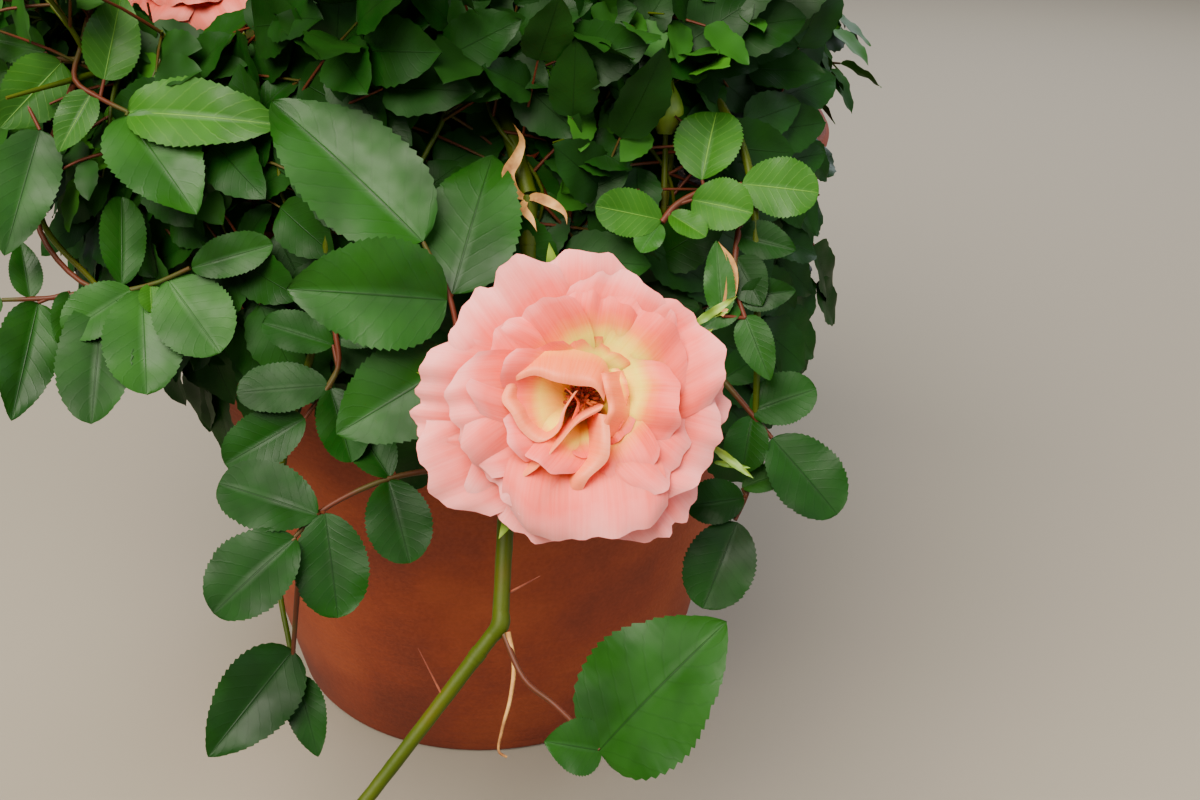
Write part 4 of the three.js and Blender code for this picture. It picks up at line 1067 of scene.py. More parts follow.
# %% Making the leaves in front
STALK_RADII = (1.15, 0.75)
SMALL_STALK_RADII = (0.7, 0.6)
STALK_REACH = 1.5
front_piles = {tone: Pile() for tone in LEAF_SKINS}
stalk_pile = Pile()
for leaf_number, leaf in enumerate(FRONT_LEAVES):
    stalk = [seen_at(*spot) for spot in leaf["stalk"]]
    add_tube(stalk_pile, stalk, *STALK_RADII, 8, 20)
    grid = BLUNT_LEAF if leaf.get("blunt") else FINE_LEAF
    for number, (root_spot, tip_spot, width, tone) in enumerate(leaf["leaflets"]):
        root = seen_at(*root_spot)
        tip = seen_at(*tip_spot)
        turn = 0.25 * math.sin(5.1 * leaf_number + 2.3 * number)
        facing = facing_camera(root, 0.3 + 0.2 * math.cos(3.7 * number + leaf_number), turn)
        add_leaflet(front_piles[tone], grid, root, tip, facing, width,
                    fold=0.34 + 0.1 * math.sin(2.1 * number + leaf_number),
                    droop=0.09 + 0.05 * math.cos(number + leaf_number), wave=0.013,
                    phase=1.7 * number + leaf_number, veins=0.0028)
        near = min(stalk, key=lambda place: (place - root).length)
        if (near - root).length > STALK_REACH:
            add_tube(stalk_pile, [near, near.lerp(root, 0.5), root], *SMALL_STALK_RADII, 6, 4)
print("stalks in front have", stalk_pile.triangles(), "triangles")

# %% [markdown]
# The sprays' own stems carry those leaves. Their routes are the solid model's, and the fine
# leaves at the far end of the hanging cane, which the picture cuts off, are made like the rest.

# %% The stems of the sprays
SPRAY_SEED = 300
SPRAY_STEMS = {
    "bloom_shoot": [(27, -182, 228), (38, -176, 216), (45.6, -180, 222), (46.4, -196, 231)],
    "low_leaf": [(25, -190, 208), (14, -193, 207)],
    "cane_end_leaves": [(-50, -286, 93.5), (-64, -298, 84)],
    "front_left_spray": [(-27, -118, 312), (-31, -154, 292), (-37, -168, 248), (-53, -172, 198),
                         (-57, -184, 155), (-51, -202, 138)],
    "right_spray": [(86, -104, 318), (103, -148, 294), (106, -172, 252), (106, -187, 203)],
    "left_spray": [(-134, -36, 318), (-142, -68, 301), (-144, -117, 266), (-118, -143, 248)],
    "bud_shoot": [(80, -104, 313), (80, -118, 300), (76, -144.5, 274), (76.5, -140, 284), (77, -131, 299)],
    "coral_bloom_shoot": [(-92, -20, 352), (-98, -22, 342), (-102, -29, 335)],
}
twig_pile = Pile()
for number, (name, stem) in enumerate(SPRAY_STEMS.items()):
    thick = 2.3 if "bloom" in name else 1.7
    add_tube(twig_pile, stem, thick, 0.55 * thick, 10, 8 * len(stem), 0.04, SPRAY_SEED + number)
END_LEAVES = [((-62, -297, 85), (-92, -312, 66), (-118, -322, 52), 26),
              ((-60, -295, 86), (-66, -324, 62), (-70, -340, 42), 22)]
for number, (start, end, tip, size) in enumerate(END_LEAVES):
    start, end, tip = Vector(start), Vector(end), Vector(tip)
    add_tube(stalk_pile, [start, start.lerp(end, 0.5) + Vector((0, 0, 2)), end], 1.1, 0.7, 6, 8)
    run = end - start
    facing = Vector((0, -0.75, 0.66))
    side = facing.cross(run).normalized()
    add_leaflet(front_piles["mid"], FINE_LEAF, end, tip, facing, veins=0.003)
    for share in (0.25, 0.72):
        for hand in (-1, 1):
            root = start + run * share
            tip = root + (run.normalized() * 0.47 + side * hand * 0.88) * size
            add_leaflet(front_piles["mid"], FINE_LEAF, root, tip, facing, phase=hand, veins=0.003)
print(len(SPRAY_STEMS), "stems and", len(END_LEAVES), "leaves at the cane's end")

# %% [markdown]
# The crown grows by rule. Every mass has a stem, side twigs at the golden angle round it and
# finer twigs on those. Leaves are tried along them in turn. One that would leave the room of
# its mass, or crowd a leaf, a bloom or the pot, is left out, so the crown stays open and keeps
# its outline. The random numbers come from the same small formula as the solid model's.

# %% The rule for the crown
TO_FRONT = Vector((0.02, -0.89, 0.4555)).normalized()
BLOOM_CENTRE = Vector((46.6, -214, 241))
BLOOM_RADIUS = 46
CORAL_CENTRE = Vector((-101, -42, 344))
CORAL_FACING = Vector((0.1, -0.75, 0.65)).normalized()
TO_EYE = (CAMERA_PLACE - CORAL_CENTRE).normalized()
CORAL_ROOM = 34
CORAL_SIGHT = 27
KEPT_CLEAR = ((BLOOM_CENTRE, TO_FRONT, BLOOM_RADIUS), (CORAL_CENTRE, CORAL_FACING, CORAL_ROOM),
              (CORAL_CENTRE, TO_EYE, CORAL_SIGHT))
CLEAR_AHEAD = (-14, 400)
POT_OPENING = 118
CENTRES = np.array([list(mass["centre"]) for mass in MASSES])


def seeded(seed):
    """A repeatable row of numbers from 0 to 1."""
    state = seed
    while True:
        state = (state * 1664525 + 1013904223) % 4294967296
        yield state / 4294967296


def inside_space(mass, places):
    """Whether places stay in a mass's own room: its egg, on its side of each neighbour."""
    offset = np.array([list(place) for place in places]) - np.array(mass["centre"])
    if (((offset / np.array(mass["reach"])) ** 2).sum(axis=1) > 1).any():
        return False
    across = CENTRES - np.array(mass["centre"])
    far = np.linalg.norm(across, axis=1)
    keep = far > 1
    middle = far[keep] / 2 - CELL_MARGIN
    return bool(((offset @ (across[keep] / far[keep][:, None]).T) < middle).all())


def in_the_way(place):
    """Whether a place lies in the pot's wall, the soil, or the open space before a bloom."""
    reach = math.hypot(place.x, place.y)
    lowest = POT_HEIGHT + 3 if reach > POT_OPENING else SOIL_LEVEL + 5
    if reach < RIM_RADIUS + 2 and place.z < lowest:
        return True
    for centre, facing, radius in KEPT_CLEAR:
        ahead = (place - centre).dot(facing)
        beside = ((place - centre) - facing * ahead).length
        if CLEAR_AHEAD[0] < ahead < CLEAR_AHEAD[1] and beside < radius * 1.02:
            return True
    return False


def across_of(way, spin):
    """A way square to another, turned by an angle round it."""
    out = (way.cross(X_AXIS) if abs(way.x) < 0.95 else way.cross(Z_AXIS)).normalized()
    out.rotate(Matrix.Rotation(spin, 3, way))
    return out


def leaf_parts(place, heading, droop, facing, size, pairs):
    """Where a leaf's stalk ends, and its leaflets as pairs of root and tip."""
    end = place + heading * 1.45 * size * (0.75 + 0.25 * len(pairs) / 2)
    side = facing.cross(heading).normalized()
    leaflets = [(end, end + droop * size)]
    for share in pairs:
        root = place.lerp(end, share)
        for hand in (-1, 1):
            way = heading * 0.47 + side * hand * 0.88 + (droop - heading) * 0.5
            leaflets.append((root, root + way.normalized() * size * (0.78 + 0.14 * share)))
    return end, leaflets


# %% [markdown]
# Nothing that grows by rule may show in front of a leaflet that the picture fixes. So a place is
# turned back into its pixel and its distance, and compared with every placed leaflet, with the
# bud and with the dried bracts.

# %% What the placed leaves cover
PLACED_CLEAR = 16
PLACED_SHARE = 0.8
PLACED_DEPTH = 6


def shown_at(place):
    """The pixel where a place shows, and its distance along the view."""
    ray = Vector(place) - CAMERA_PLACE
    distance = ray.dot(FORWARD)
    return (IMAGE_SIZE[0] / 2 + ray.dot(X_AXIS) / distance * FOCAL_PIXELS,
            IMAGE_SIZE[1] / 2 - ray.dot(UPWARD) / distance * FOCAL_PIXELS, distance)


# The bud on its stalk is kept in sight like a leaflet.
BUD_SHOWN = ((663, 217, 469), (665, 108, 470), 0.22, "young")
placed = [leaflet for leaf in FRONT_LEAVES for leaflet in leaf["leaflets"]] + [BUD_SHOWN]
placed += [(spots[0], spots[-1], 0.3, "dry") for spots in DRIED_BRACTS]
placed_roots = np.array([root for root, _, _, _ in placed], dtype=float)
placed_runs = np.array([tip for _, tip, _, _ in placed], dtype=float) - placed_roots
placed_lengths = np.hypot(placed_runs[:, 0], placed_runs[:, 1])
placed_halves = 0.5 * placed_lengths * np.array([width for _, _, width, _ in placed])


def before_placed_leaf(place):
    """Whether a place would show in front of a leaflet that the picture fixes."""
    x, y, distance = shown_at(place)
    ahead = np.stack([x - placed_roots[:, 0], y - placed_roots[:, 1]], axis=1)
    share = (ahead * placed_runs[:, :2]).sum(axis=1) / placed_lengths ** 2
    share = np.clip(share, 0, 1)
    off = np.hypot(*(ahead - share[:, None] * placed_runs[:, :2]).T)
    depth = placed_roots[:, 2] + share * placed_runs[:, 2]
    covers = off < PLACED_SHARE * placed_halves + PLACED_CLEAR
    return bool((covers & (depth > distance - PLACED_DEPTH)).any())


print("kept in sight:", len(placed))

# %% [markdown]
# In the picture the rim hardly shows: twigs hang over it, and their leaves lie in the shade
# behind the bright ones. The twigs leave the crown just above the rim, and their leaves follow
# the same rule.

# %% The leaves over the rim
RIM_TWIG_AZIMUTHS = (200, 210, 220, 229, 237, 245, 253, 262, 271, 280, 289, 298, 307, 316)
RIM_TWIG_ENDS = (264, 260, 262, 258, 254, 250, 256, 250, 240, 244, 226, 216, 232, 240)
RIM_TWIG_COURSE = ((112, 322), (144, 308), (157.5, 284), (158, 256))
RIM_TWIG_SWAY = 0.06
RIM_TWIG_RADII = (1.1, 0.3)
RIM_SEED = 77
RIM_TWIG_SEED = 340


def rim_twig(azimuth, lowest):
    """A twig that leaves the crown, passes over the rim and hangs down the wall."""
    places = []
    for i, (radius, height) in enumerate(RIM_TWIG_COURSE + ((157, lowest),)):
        angle = math.radians(azimuth) + RIM_TWIG_SWAY * math.sin(azimuth + 2.1 * i)
        places.append((radius * math.cos(angle), radius * math.sin(angle), height))
    return places


RIM_TWIGS = [rim_twig(azimuth, lowest) for azimuth, lowest in zip(RIM_TWIG_AZIMUTHS, RIM_TWIG_ENDS)]
RIM_LEAFLETS = 70
RIM_TRIES = 420
RIM_CROWDED = 10
RIGHT_EDGE = 838
WIDEST_LEFT = 222


def below_the_rim(place):
    """Whether a place has come into the pot or its rim from the front."""
    wall = RIM_RADIUS + 3 if place.z > body_top - 4 else POT_BODY_RADIUS + 4
    return place.z < POT_HEIGHT + 4 and math.hypot(place.x, place.y) < wall


def too_far_out(place):
    """Whether a place passes the sides that the picture and the solid model give the plant."""
    return shown_at(place)[0] > RIGHT_EDGE or place.x < -WIDEST_LEFT


def add_stalk(place, end, size, whole):
    """A leaf's stalk. Where the leaf has lost its last leaflet, so has the stalk its last part."""
    far = end if whole else place.lerp(end, 0.7)
    add_tube(stalk_pile, [place, place.lerp(far, 0.5) + Z_AXIS * 0.05 * size, far], 0.65, 0.42, 4, 4,
             closed_ends=False)


def may_grow(places, taken, crowded):
    """Whether a leaflet's places are free of the pot, the blooms, placed leaves and others."""
    if any(below_the_rim(spot) or in_the_way(spot) or too_far_out(spot) for spot in places):
        return False
    if any(before_placed_leaf(spot) for spot in places):
        return False
    if not taken:
        return True
    return bool(np.linalg.norm(np.array(taken) - np.array(places[1]), axis=1).min() > crowded)


def add_hung_leaf(path, turn, size, tone, taken, random):
    """A leaf that lies against the wall like a shingle. Leaflets that find no room are left out."""
    place, way = along_path(path, 0.12 + 0.88 * next(random))
    outward = Vector((place.x, place.y, 0)).normalized()
    tangent = Z_AXIS.cross(outward)
    heading = (tangent * math.cos(turn) + Z_AXIS * (0.8 * math.sin(turn) - 0.25)
               + outward * 0.16 * next(random)).normalized()
    droop = (heading - Z_AXIS * (0.15 + 0.4 * next(random))).normalized()
    facing = Z_AXIS * 0.6 + outward + Vector((next(random) - 0.5, 0, next(random) - 0.5)) * 0.9
    pairs = ((0.25, 0.68), (0.55,))[int(2 * next(random))]
    end, leaflets = leaf_parts(place, heading, droop, facing, size, pairs)
    kept = [(root, tip) for root, tip in leaflets
            if may_grow([root, root.lerp(tip, 0.5), tip], taken, RIM_CROWDED)]
    if len(kept) < 2 or before_placed_leaf(end) or below_the_rim(end):
        return 0
    add_stalk(place, end, size, kept[0] == leaflets[0])
    for root, tip in kept:
        taken.append(list(root.lerp(tip, 0.5)))
        add_leaflet(front_piles[tone], SHADE_LEAF_GRID, root, tip, facing, 0.64 + 0.12 * next(random),
                    fold=0.28, droop=0.1, wave=0.02, phase=6 * next(random), veins=0.002)
    return len(kept)


rim_count = 0
rim_random = seeded(RIM_SEED)
rim_taken = []
for number, path in enumerate(RIM_TWIGS):
    add_tube(twig_pile, path, *RIM_TWIG_RADII, 7, 24, 0.05, RIM_TWIG_SEED + number)
    grown = 0
    for i in range(RIM_TRIES):
        if grown < RIM_LEAFLETS:
            # Most of these leaves take the shade skin and the rest the deep one, both darker as painted
            # shade.
            tone = "shade" if next(rim_random) < 0.7 else "deep"
            size = 21 + 11 * next(rim_random)
            grown += add_hung_leaf(path, GOLDEN_ANGLE * i, size, tone, rim_taken, rim_random)
    rim_count += grown
print("leaflets over the rim:", rim_count)
SPRAY_LEAF_NODES = ["low_leaf", "hanging_leaf", "cane_end_leaves", "front_left_spray", "right_spray",
                    "left_spray", "bud_shoot"]
for tone, pile in front_piles.items():
    piece_from(pile, "front_leaves_" + tone, LEAF_SKINS[tone], SPRAY_LEAF_NODES)

# %% [markdown]
# Now the fourteen masses. The stem of a mass bears side twigs, and those bear finer ones. A side
# twig that would leave its mass or cross a placed leaf is tried shorter, and then left out.

# %% The twigs of a mass
SIDE_TWIGS = 8
FINE_TWIGS = 3
STEM_SHARE = 0.66
SIDE_TWIG_SHARES = (0.66, 0.5, 0.36)
FINE_TWIG_SHARE = 0.3
TWIG_RISE = 0.06
STEM_RADII = (2.2, 0.6)
SIDE_TWIG_RADII = (1.2, 0.4)
FINE_TWIG_RADII = (0.8, 0.25)


def fine_twigs(mass, side_twig, number, random):
    """The paths of the finer twigs on a side twig."""
    paths = []
    for j in range(FINE_TWIGS):
        start, run = along_path(side_twig, 0.35 + 0.5 * j / FINE_TWIGS)
        turn = across_of(run, GOLDEN_ANGLE * (number + j) + 2 * next(random))
        end = start + (turn * 0.8 + run * 0.6).normalized() * FINE_TWIG_SHARE * mass["reach"][0]
        if inside_space(mass, [end]) and not in_the_way(end) and not before_placed_leaf(end):
            paths.append([start, start.lerp(end, 0.5), end])
    return paths


def mass_twigs(mass, random):
    """The twigs of a mass, each as its path and its radius at either end."""
    reach = mass["reach"]
    rise = Vector((0, 0, TWIG_RISE * reach[2]))
    far = mass["centre"] + times(mass["outward"], reach) * STEM_SHARE
    stem = [mass["entry"], mass["entry"].lerp(far, 0.5) + rise, far]
    twigs = [(stem, STEM_RADII)]
    for i in range(SIDE_TWIGS):
        place, way = along_path(stem, 0.12 + 0.8 * i / SIDE_TWIGS)
        heading = (across_of(way, GOLDEN_ANGLE * i + 0.6 * next(random)) * 0.85 + way * 0.5).normalized()
        for length in SIDE_TWIG_SHARES:
            tip = place + heading * length * reach[0]
            knee = place.lerp(tip, 0.5) + rise
            hidden = any(before_placed_leaf(spot) for spot in (knee, knee.lerp(tip, 0.5), tip))
            if inside_space(mass, [tip, knee]) and not in_the_way(tip) and not hidden:
                side_twig = [place, knee, tip]
                twigs.append((side_twig, SIDE_TWIG_RADII))
                twigs += [(path, FINE_TWIG_RADII) for path in fine_twigs(mass, side_twig, i, random)]
                break
    return twigs


# %% [markdown]
# Leaves are tried along the twigs in turn, up to a number for each mass. Those deep in a mass are
# dark, as painted shade inside the crown, and those near its outside are dealt a tone each: most
# are grown, some are young. Each tone of the upper and of the lower masses is one mesh.

# %% The leaves of a mass
LEAVES_A_MASS = 78
LEAF_TRIES = 2600
CROWDED = 0.34
BLOOM_HEADROOM = (-12, 80)
BLOOM_SEAT = 0.42
DARK_SHARE = 0.3
YOUNG_SHARE = 0.3
crown_piles = {(ring, tone): Pile() for ring in ("upper", "lower") for tone in CROWN_SKINS}


def ring_of(name):
    """The ring that a mass counts to. The top mass counts to the upper one."""
    return "lower" if "lower" in name else "upper"


def crowds_bloom(mass, middles):
    """Whether a leaflet's middle comes too near the bloom that its mass carries."""
    if not mass["bloom"]:
        return False
    seat, up = mass["seat"]
    for middle in middles:
        offset = Vector(middle) - seat
        height = offset.dot(up)
        beside = (offset - up * height).length
        if BLOOM_HEADROOM[0] < height < BLOOM_HEADROOM[1] and beside < 1.15 * mass["bloom"]:
            return True
    return False


def leaf_tone(mass, place, random):
    """Dark for a leaf deep in its mass, as painted shade, or else a tone by chance."""
    inner = (place - mass["centre"]).dot(mass["outward"]) < -0.1 * mass["reach"][0]
    if inner or next(random) < DARK_SHARE:
        return "dark"
    return "young" if next(random) < YOUNG_SHARE else "mid"


def grow_leaf(mass, path, turn, taken, random):
    """Try one leaf on a twig, and return how many leaves grew: one, or none if it has no room."""
    place, way = along_path(path, 0.15 + 0.85 * next(random))
    outward = mass["outward"]
    heading = (across_of(way, turn) * 0.9 + way * 0.5 + outward * 0.6).normalized()
    size = mass["reach"][2] * (0.27 + 0.16 * next(random))
    droop = (heading + Vector((0, 0, -0.15 - 0.45 * next(random)))).normalized()
    facing = Z_AXIS * 0.8 + outward * 1.1 + Vector((next(random) - 0.5, next(random) - 0.5, 0))
    pairs = ((0.25, 0.68), (0.6,), (0.15, 0.48, 0.8))[int(2.4 * next(random))]
    end, leaflets = leaf_parts(place, heading, droop, facing, size, pairs)
    tips = [tip for _, tip in leaflets]
    if not inside_space(mass, tips):
        return 0
    if any(in_the_way(spot) or spot.x < -WIDEST_LEFT for spot in tips + [end]):
        return 0
    kept = [(root, tip) for root, tip in leaflets
            if not before_placed_leaf(tip) and not before_placed_leaf(root.lerp(tip, 0.5))]
    if len(kept) < 2:
        return 0
    middles = np.array([list(root.lerp(tip, 0.55)) for root, tip in kept])
    if taken:
        gaps = np.linalg.norm(np.array(taken)[:, None, :] - middles[None, :, :], axis=2)
        if gaps.min() < CROWDED * size:
            return 0
    if crowds_bloom(mass, middles):
        return 0
    taken.extend(middles.tolist())
    pile = crown_piles[ring_of(mass["name"]), leaf_tone(mass, place, random)]
    add_stalk(place, end, size, kept[0] == leaflets[0])
    for root, tip in kept:
        add_leaflet(pile, CROWN_LEAF, root, tip, facing, 0.62 + 0.12 * next(random),
                    fold=0.15 + 0.15 * next(random), droop=0.05 + 0.12 * next(random),
                    wave=0.02, phase=6 * next(random))
    return 1


leaf_count = 0
for mass in MASSES:
    random = seeded(mass["seed"])
    twigs = mass_twigs(mass, random)
    for path, radii in twigs:
        add_tube(twig_pile, path, *radii, 6, 6, 0.05, mass["seed"])
    if mass["bloom"]:
        tip, _ = along_path(twigs[0][0], 1.0)
        up = (mass["outward"] + Vector((0, 0, 0.6))).normalized()
        mass["seat"] = (tip + up * BLOOM_SEAT * mass["bloom"], up)
    taken = []
    grown = 0
    for i in range(LEAF_TRIES):
        if grown < LEAVES_A_MASS:
            grown += grow_leaf(mass, twigs[i % len(twigs)][0], GOLDEN_ANGLE * i, taken, random)
    leaf_count += grown
    print(mass["name"], grown, "leaves on", len(twigs), "twigs")
print("crown leaves:", leaf_count)

# %% [markdown]
# Low in the crown the canes carry leaves of their own, so no side shows bare wood alone. The cane
# of the top mass is the longest that shows, so it has three times as many as the others.

# %% The leaves on the canes
CANE_LEAVES = 14
CANE_TRIES = 200
CANE_LEAF_SEED = 91


def grow_cane_leaf(cane, turn, taken, random):
    """Try one leaf on a cane, and return how many leaves grew: one, or none."""
    place, way = along_path(cane["points"], 0.3 + 0.68 * next(random))
    outward = Vector((place.x, place.y, 0.3 * (place.z - POT_HEIGHT))).normalized()
    heading = (across_of(way, turn) * 0.9 + way * 0.3 + outward * 0.25).normalized()
    size = 23 + 10 * next(random)
    droop = (heading + Vector((0, 0, -0.1 - 0.4 * next(random)))).normalized()
    tilt = Vector((next(random) - 0.5, next(random) - 0.5, 0))
    facing = Z_AXIS * 0.9 + outward * 0.8 + tilt
    end, leaflets = leaf_parts(place, heading, droop, facing, size, (0.25, 0.68))
    kept = [(root, tip) for root, tip in leaflets
            if may_grow([root, root.lerp(tip, 0.5), tip], taken, CROWDED * size)]
    if len(kept) < 3 or in_the_way(end):
        return 0
    pile = crown_piles["lower", "dark" if next(random) < 0.5 else "mid"]
    add_stalk(place, end, size, kept[0] == leaflets[0])
    for root, tip in kept:
        taken.append(list(root.lerp(tip, 0.5)))
        add_leaflet(pile, CROWN_LEAF, root, tip, facing, 0.64 + 0.1 * next(random),
                    fold=0.25, droop=0.1, wave=0.02, phase=6 * next(random))
    return 1


cane_random = seeded(CANE_LEAF_SEED)
cane_taken = []
cane_count = 0
for name, cane in limbs.items():
    if name not in SMOOTH_CANES:
        wanted = 3 * CANE_LEAVES if name == "cane_top" else CANE_LEAVES
        grown = 0
        for i in range(CANE_TRIES):
            if grown < wanted:
                grown += grow_cane_leaf(cane, GOLDEN_ANGLE * i, cane_taken, cane_random)
        cane_count += grown
print("leaves on the canes:", cane_count)
for (ring, tone), pile in crown_piles.items():
    nodes = [mass["name"] for mass in MASSES if ring_of(mass["name"]) == ring]
    piece_from(pile, "crown_leaves_" + ring + "_" + tone, CROWN_SKINS[tone], nodes)
piece_from(twig_pile, "twigs", cane_skin, (), "cane")
piece_from(stalk_pile, "leaf_stalks", stalk_skin, (), "cane")

# %% [markdown]
# A petal is a sheet with a narrow claw and a broad, ruffled rim with a notch in its middle. It
# leaves the bloom's middle steeply and flattens outwards, and its edge rolls back. This bloom
# is loose: eleven wide petals lie open round the outside, each at its own angle, and those in
# front of them are fewer, smaller and more upright. So they're listed one by one, by the clock.

# %% Petals
PETAL_ROWS = 24
PETAL_COLUMNS = 27
PETAL_CUP = 0.1
PETAL_WRAP = 0.5
GLOW_AIM = math.radians(42)
GLOW_REACH = 18
GLOW_LONGER = 15


def axes_of(facing):
    """The bloom's own right, up and out, so that up leans to the sky."""
    out = Vector(facing).normalized()
    right = Z_AXIS.cross(out)
    right = right.normalized() if right.length > 0.05 else X_AXIS.copy()
    return np.array(right), np.array(out.cross(right)), np.array(out)


def add_petal(pile, centre, axes, petal, seed):
    """One petal. Lengths are in mm, slopes in degrees above flat, and its angle runs clockwise."""
    random = np.random.default_rng(seed)
    u, v = np.meshgrid(np.linspace(-1, 1, PETAL_COLUMNS), np.linspace(0, 1, PETAL_ROWS))
    root = petal.get("root", 4)
    length = petal["reach"] - root
    # The rim is rounded, with a notch near the middle and shallow lobes.
    lobes = (0.03 * np.sin(3.4 * u + random.uniform(0, 6))
             + 0.015 * np.sin(8.3 * u + random.uniform(0, 6)) + 0.013 * np.sin(17 * u + seed))
    notch = petal.get("notch", 0.05) * np.exp(-((u - random.uniform(-0.2, 0.2)) / 0.12) ** 2)
    rim = 1.04 - 0.24 * np.abs(u) ** 3.0 + lobes - notch
    half = 0.5 * petal["width"] * (0.2 + 0.8 * np.sin(0.5 * math.pi * np.minimum(1, v * 1.12) ** 0.8))
    # The slope falls along the petal, and the rim rolls back unevenly.
    low, high = math.radians(petal["slope"][0]), math.radians(petal["slope"][1])
    rolled = math.radians(petal["roll"]) * (1 + 0.45 * np.sin(2.2 * u + random.uniform(0, 6)))
    slope = low + (high - low) * v ** 0.75 - rolled * v ** 5
    step = length * rim / (PETAL_ROWS - 1)
    radial = root + np.cumsum(np.cos(slope) * step, axis=0)
    height = petal["base"] + np.cumsum(np.sin(slope) * step, axis=0)
    waves = (np.sin(2.3 * u + random.uniform(0, 6)) + 0.7 * np.sin(4.9 * u + random.uniform(0, 6))
             + 0.3 * np.sin(9.5 * u + 2 * v + random.uniform(0, 6)))
    height = height + petal["ruffle"] * v ** 1.7 * waves
    height = height + PETAL_CUP * half * u ** 2 + petal["lean"] * u * half
    spread = u * half
    # A petal wraps a little round the bloom's axis, so its sides come forward of its middle.
    bow = PETAL_WRAP * spread / np.maximum(radial, 7)
    x = radial * np.sin(bow) + (1 - PETAL_WRAP) * spread
    y = radial * np.cos(bow)
    turn = math.radians(petal["angle"])
    right, up, out = axes
    flat_x = x * math.cos(turn) + y * math.sin(turn)
    flat_y = y * math.cos(turn) - x * math.sin(turn)
    points = (np.array(centre) + flat_x[..., None] * right + flat_y[..., None] * up
              + height[..., None] * out)
    uvs = np.stack([0.5 + 0.5 * u.ravel(), v.ravel()], axis=1)
    # The claws glow round the heart, and furthest where the bloom opens to the upper right.
    aim = np.arctan2(flat_x, flat_y) - GLOW_AIM
    glow_reach = GLOW_REACH + GLOW_LONGER * np.maximum(0, np.cos(aim)) ** 2
    glow = np.exp(-1.2 * (np.hypot(flat_x, flat_y) / glow_reach) ** 2) * (petal["reach"] > 15)
    depth = 0.4 * petal["depth"] + petal.get("glow", 1.0) * glow
    pile.add(points.reshape(-1, 3), grid_faces(PETAL_ROWS, PETAL_COLUMNS), uvs, depth.ravel())


def petal_list(rows):
    """Petals from rows of: angle, reach, width, base, slopes, roll, lean, ruffle, notch, depth."""
    keys = ("angle", "reach", "width", "base", "slope", "roll", "lean", "ruffle", "notch", "depth")
    return [dict(zip(keys, row)) for row in rows]


OUTER_PETALS = petal_list([
    (-65, 43, 34, -13, (40, 2), 20, 0.05, 1.6, 0.03, 0.0),
    (-34, 48, 42, -12, (42, 4), 16, -0.08, 1.8, 0.05, 0.02),
    (1, 47, 38, -13, (40, 4), 14, 0.05, 1.6, 0.04, 0.06),
    (26, 44, 36, -11, (44, 8), 22, -0.06, 1.7, 0.06, 0.06),
    (60, 46.5, 38, -10, (44, 6), 18, 0.10, 1.5, 0.03, 0.04),
    (82, 45.5, 30, -13, (40, 0), 10, -0.12, 1.2, 0.02, 0.0),
    (106, 44, 40, -10, (46, 8), 26, 0.10, 1.6, 0.04, 0.0),
    (140, 46, 36, -13, (40, 0), 20, 0.0, 1.6, 0.07, 0.0),
    (214, 42.5, 38, -12, (42, 2), 24, 0.06, 1.6, 0.06, 0.0),
    (248, 49.5, 40, -13, (40, 2), 20, -0.05, 1.8, 0.05, 0.0),
    (276, 50, 36, -12, (42, 4), 22, 0.08, 1.8, 0.07, 0.0),
])
MIDDLE_PETALS = petal_list([
    (180, 46, 50, -9, (56, 14), 62, 0.0, 1.4, 0.05, 0.05),
    (42, 35, 42, -8, (50, 12), 18, 0.10, 2.0, 0.05, 0.24),
    (10, 34, 30, -9, (50, 16), 26, -0.10, 2.2, 0.08, 0.34),
    (-36, 35, 32, -8, (52, 14), 20, 0.12, 2.0, 0.04, 0.30),
    (-66, 36, 32, -8, (50, 16), 30, -0.10, 2.4, 0.08, 0.18),
    (262, 42, 38, -8, (52, 12), 34, 0.08, 2.2, 0.05, 0.06),
    (230, 41, 38, -8, (52, 12), 38, -0.08, 2.4, 0.06, 0.06),
    (95, 31, 32, -6, (56, 18), 26, -0.05, 1.8, 0.04, 0.20),
    (130, 37, 40, -8, (54, 14), 34, 0.10, 1.8, 0.05, 0.12),
    (157, 33, 30, -7, (58, 20), 30, -0.12, 1.8, 0.05, 0.26),
])
INNER_PETALS = petal_list([
    (-94, 29, 34, -6, (62, 26), 26, 0.05, 2.2, 0.05, 0.20),
    (-58, 23, 24, -6, (62, 26), 18, 0.10, 2.0, 0.06, 0.46),
    (-12, 21, 22, -7, (60, 28), 12, 0.0, 1.8, 0.05, 0.55),
    (30, 22, 24, -8, (54, 22), 10, 0.05, 1.6, 0.04, 0.66),
    (66, 20, 20, -7, (60, 24), 12, 0.0, 1.4, 0.04, 0.58),
    (222, 27, 26, -5, (62, 26), 30, -0.08, 2.2, 0.05, 0.24),
    (92, 17, 20, -4, (72, 38), 22, 0.05, 1.2, 0.03, 0.30),
    (150, 20, 22, -5, (66, 34), 20, 0.05, 1.6, 0.03, 0.50),
])
print("petals round the heart:", len(OUTER_PETALS + MIDDLE_PETALS + INNER_PETALS))

# %% [markdown]
# In the heart a few petals stand on edge, because they opened last. Each is a band between a
# foot line, deep in the bloom, and a rim line that snakes over it. Both lines are traced from
# the picture, as right and up from the bloom's middle and then out towards the eye.

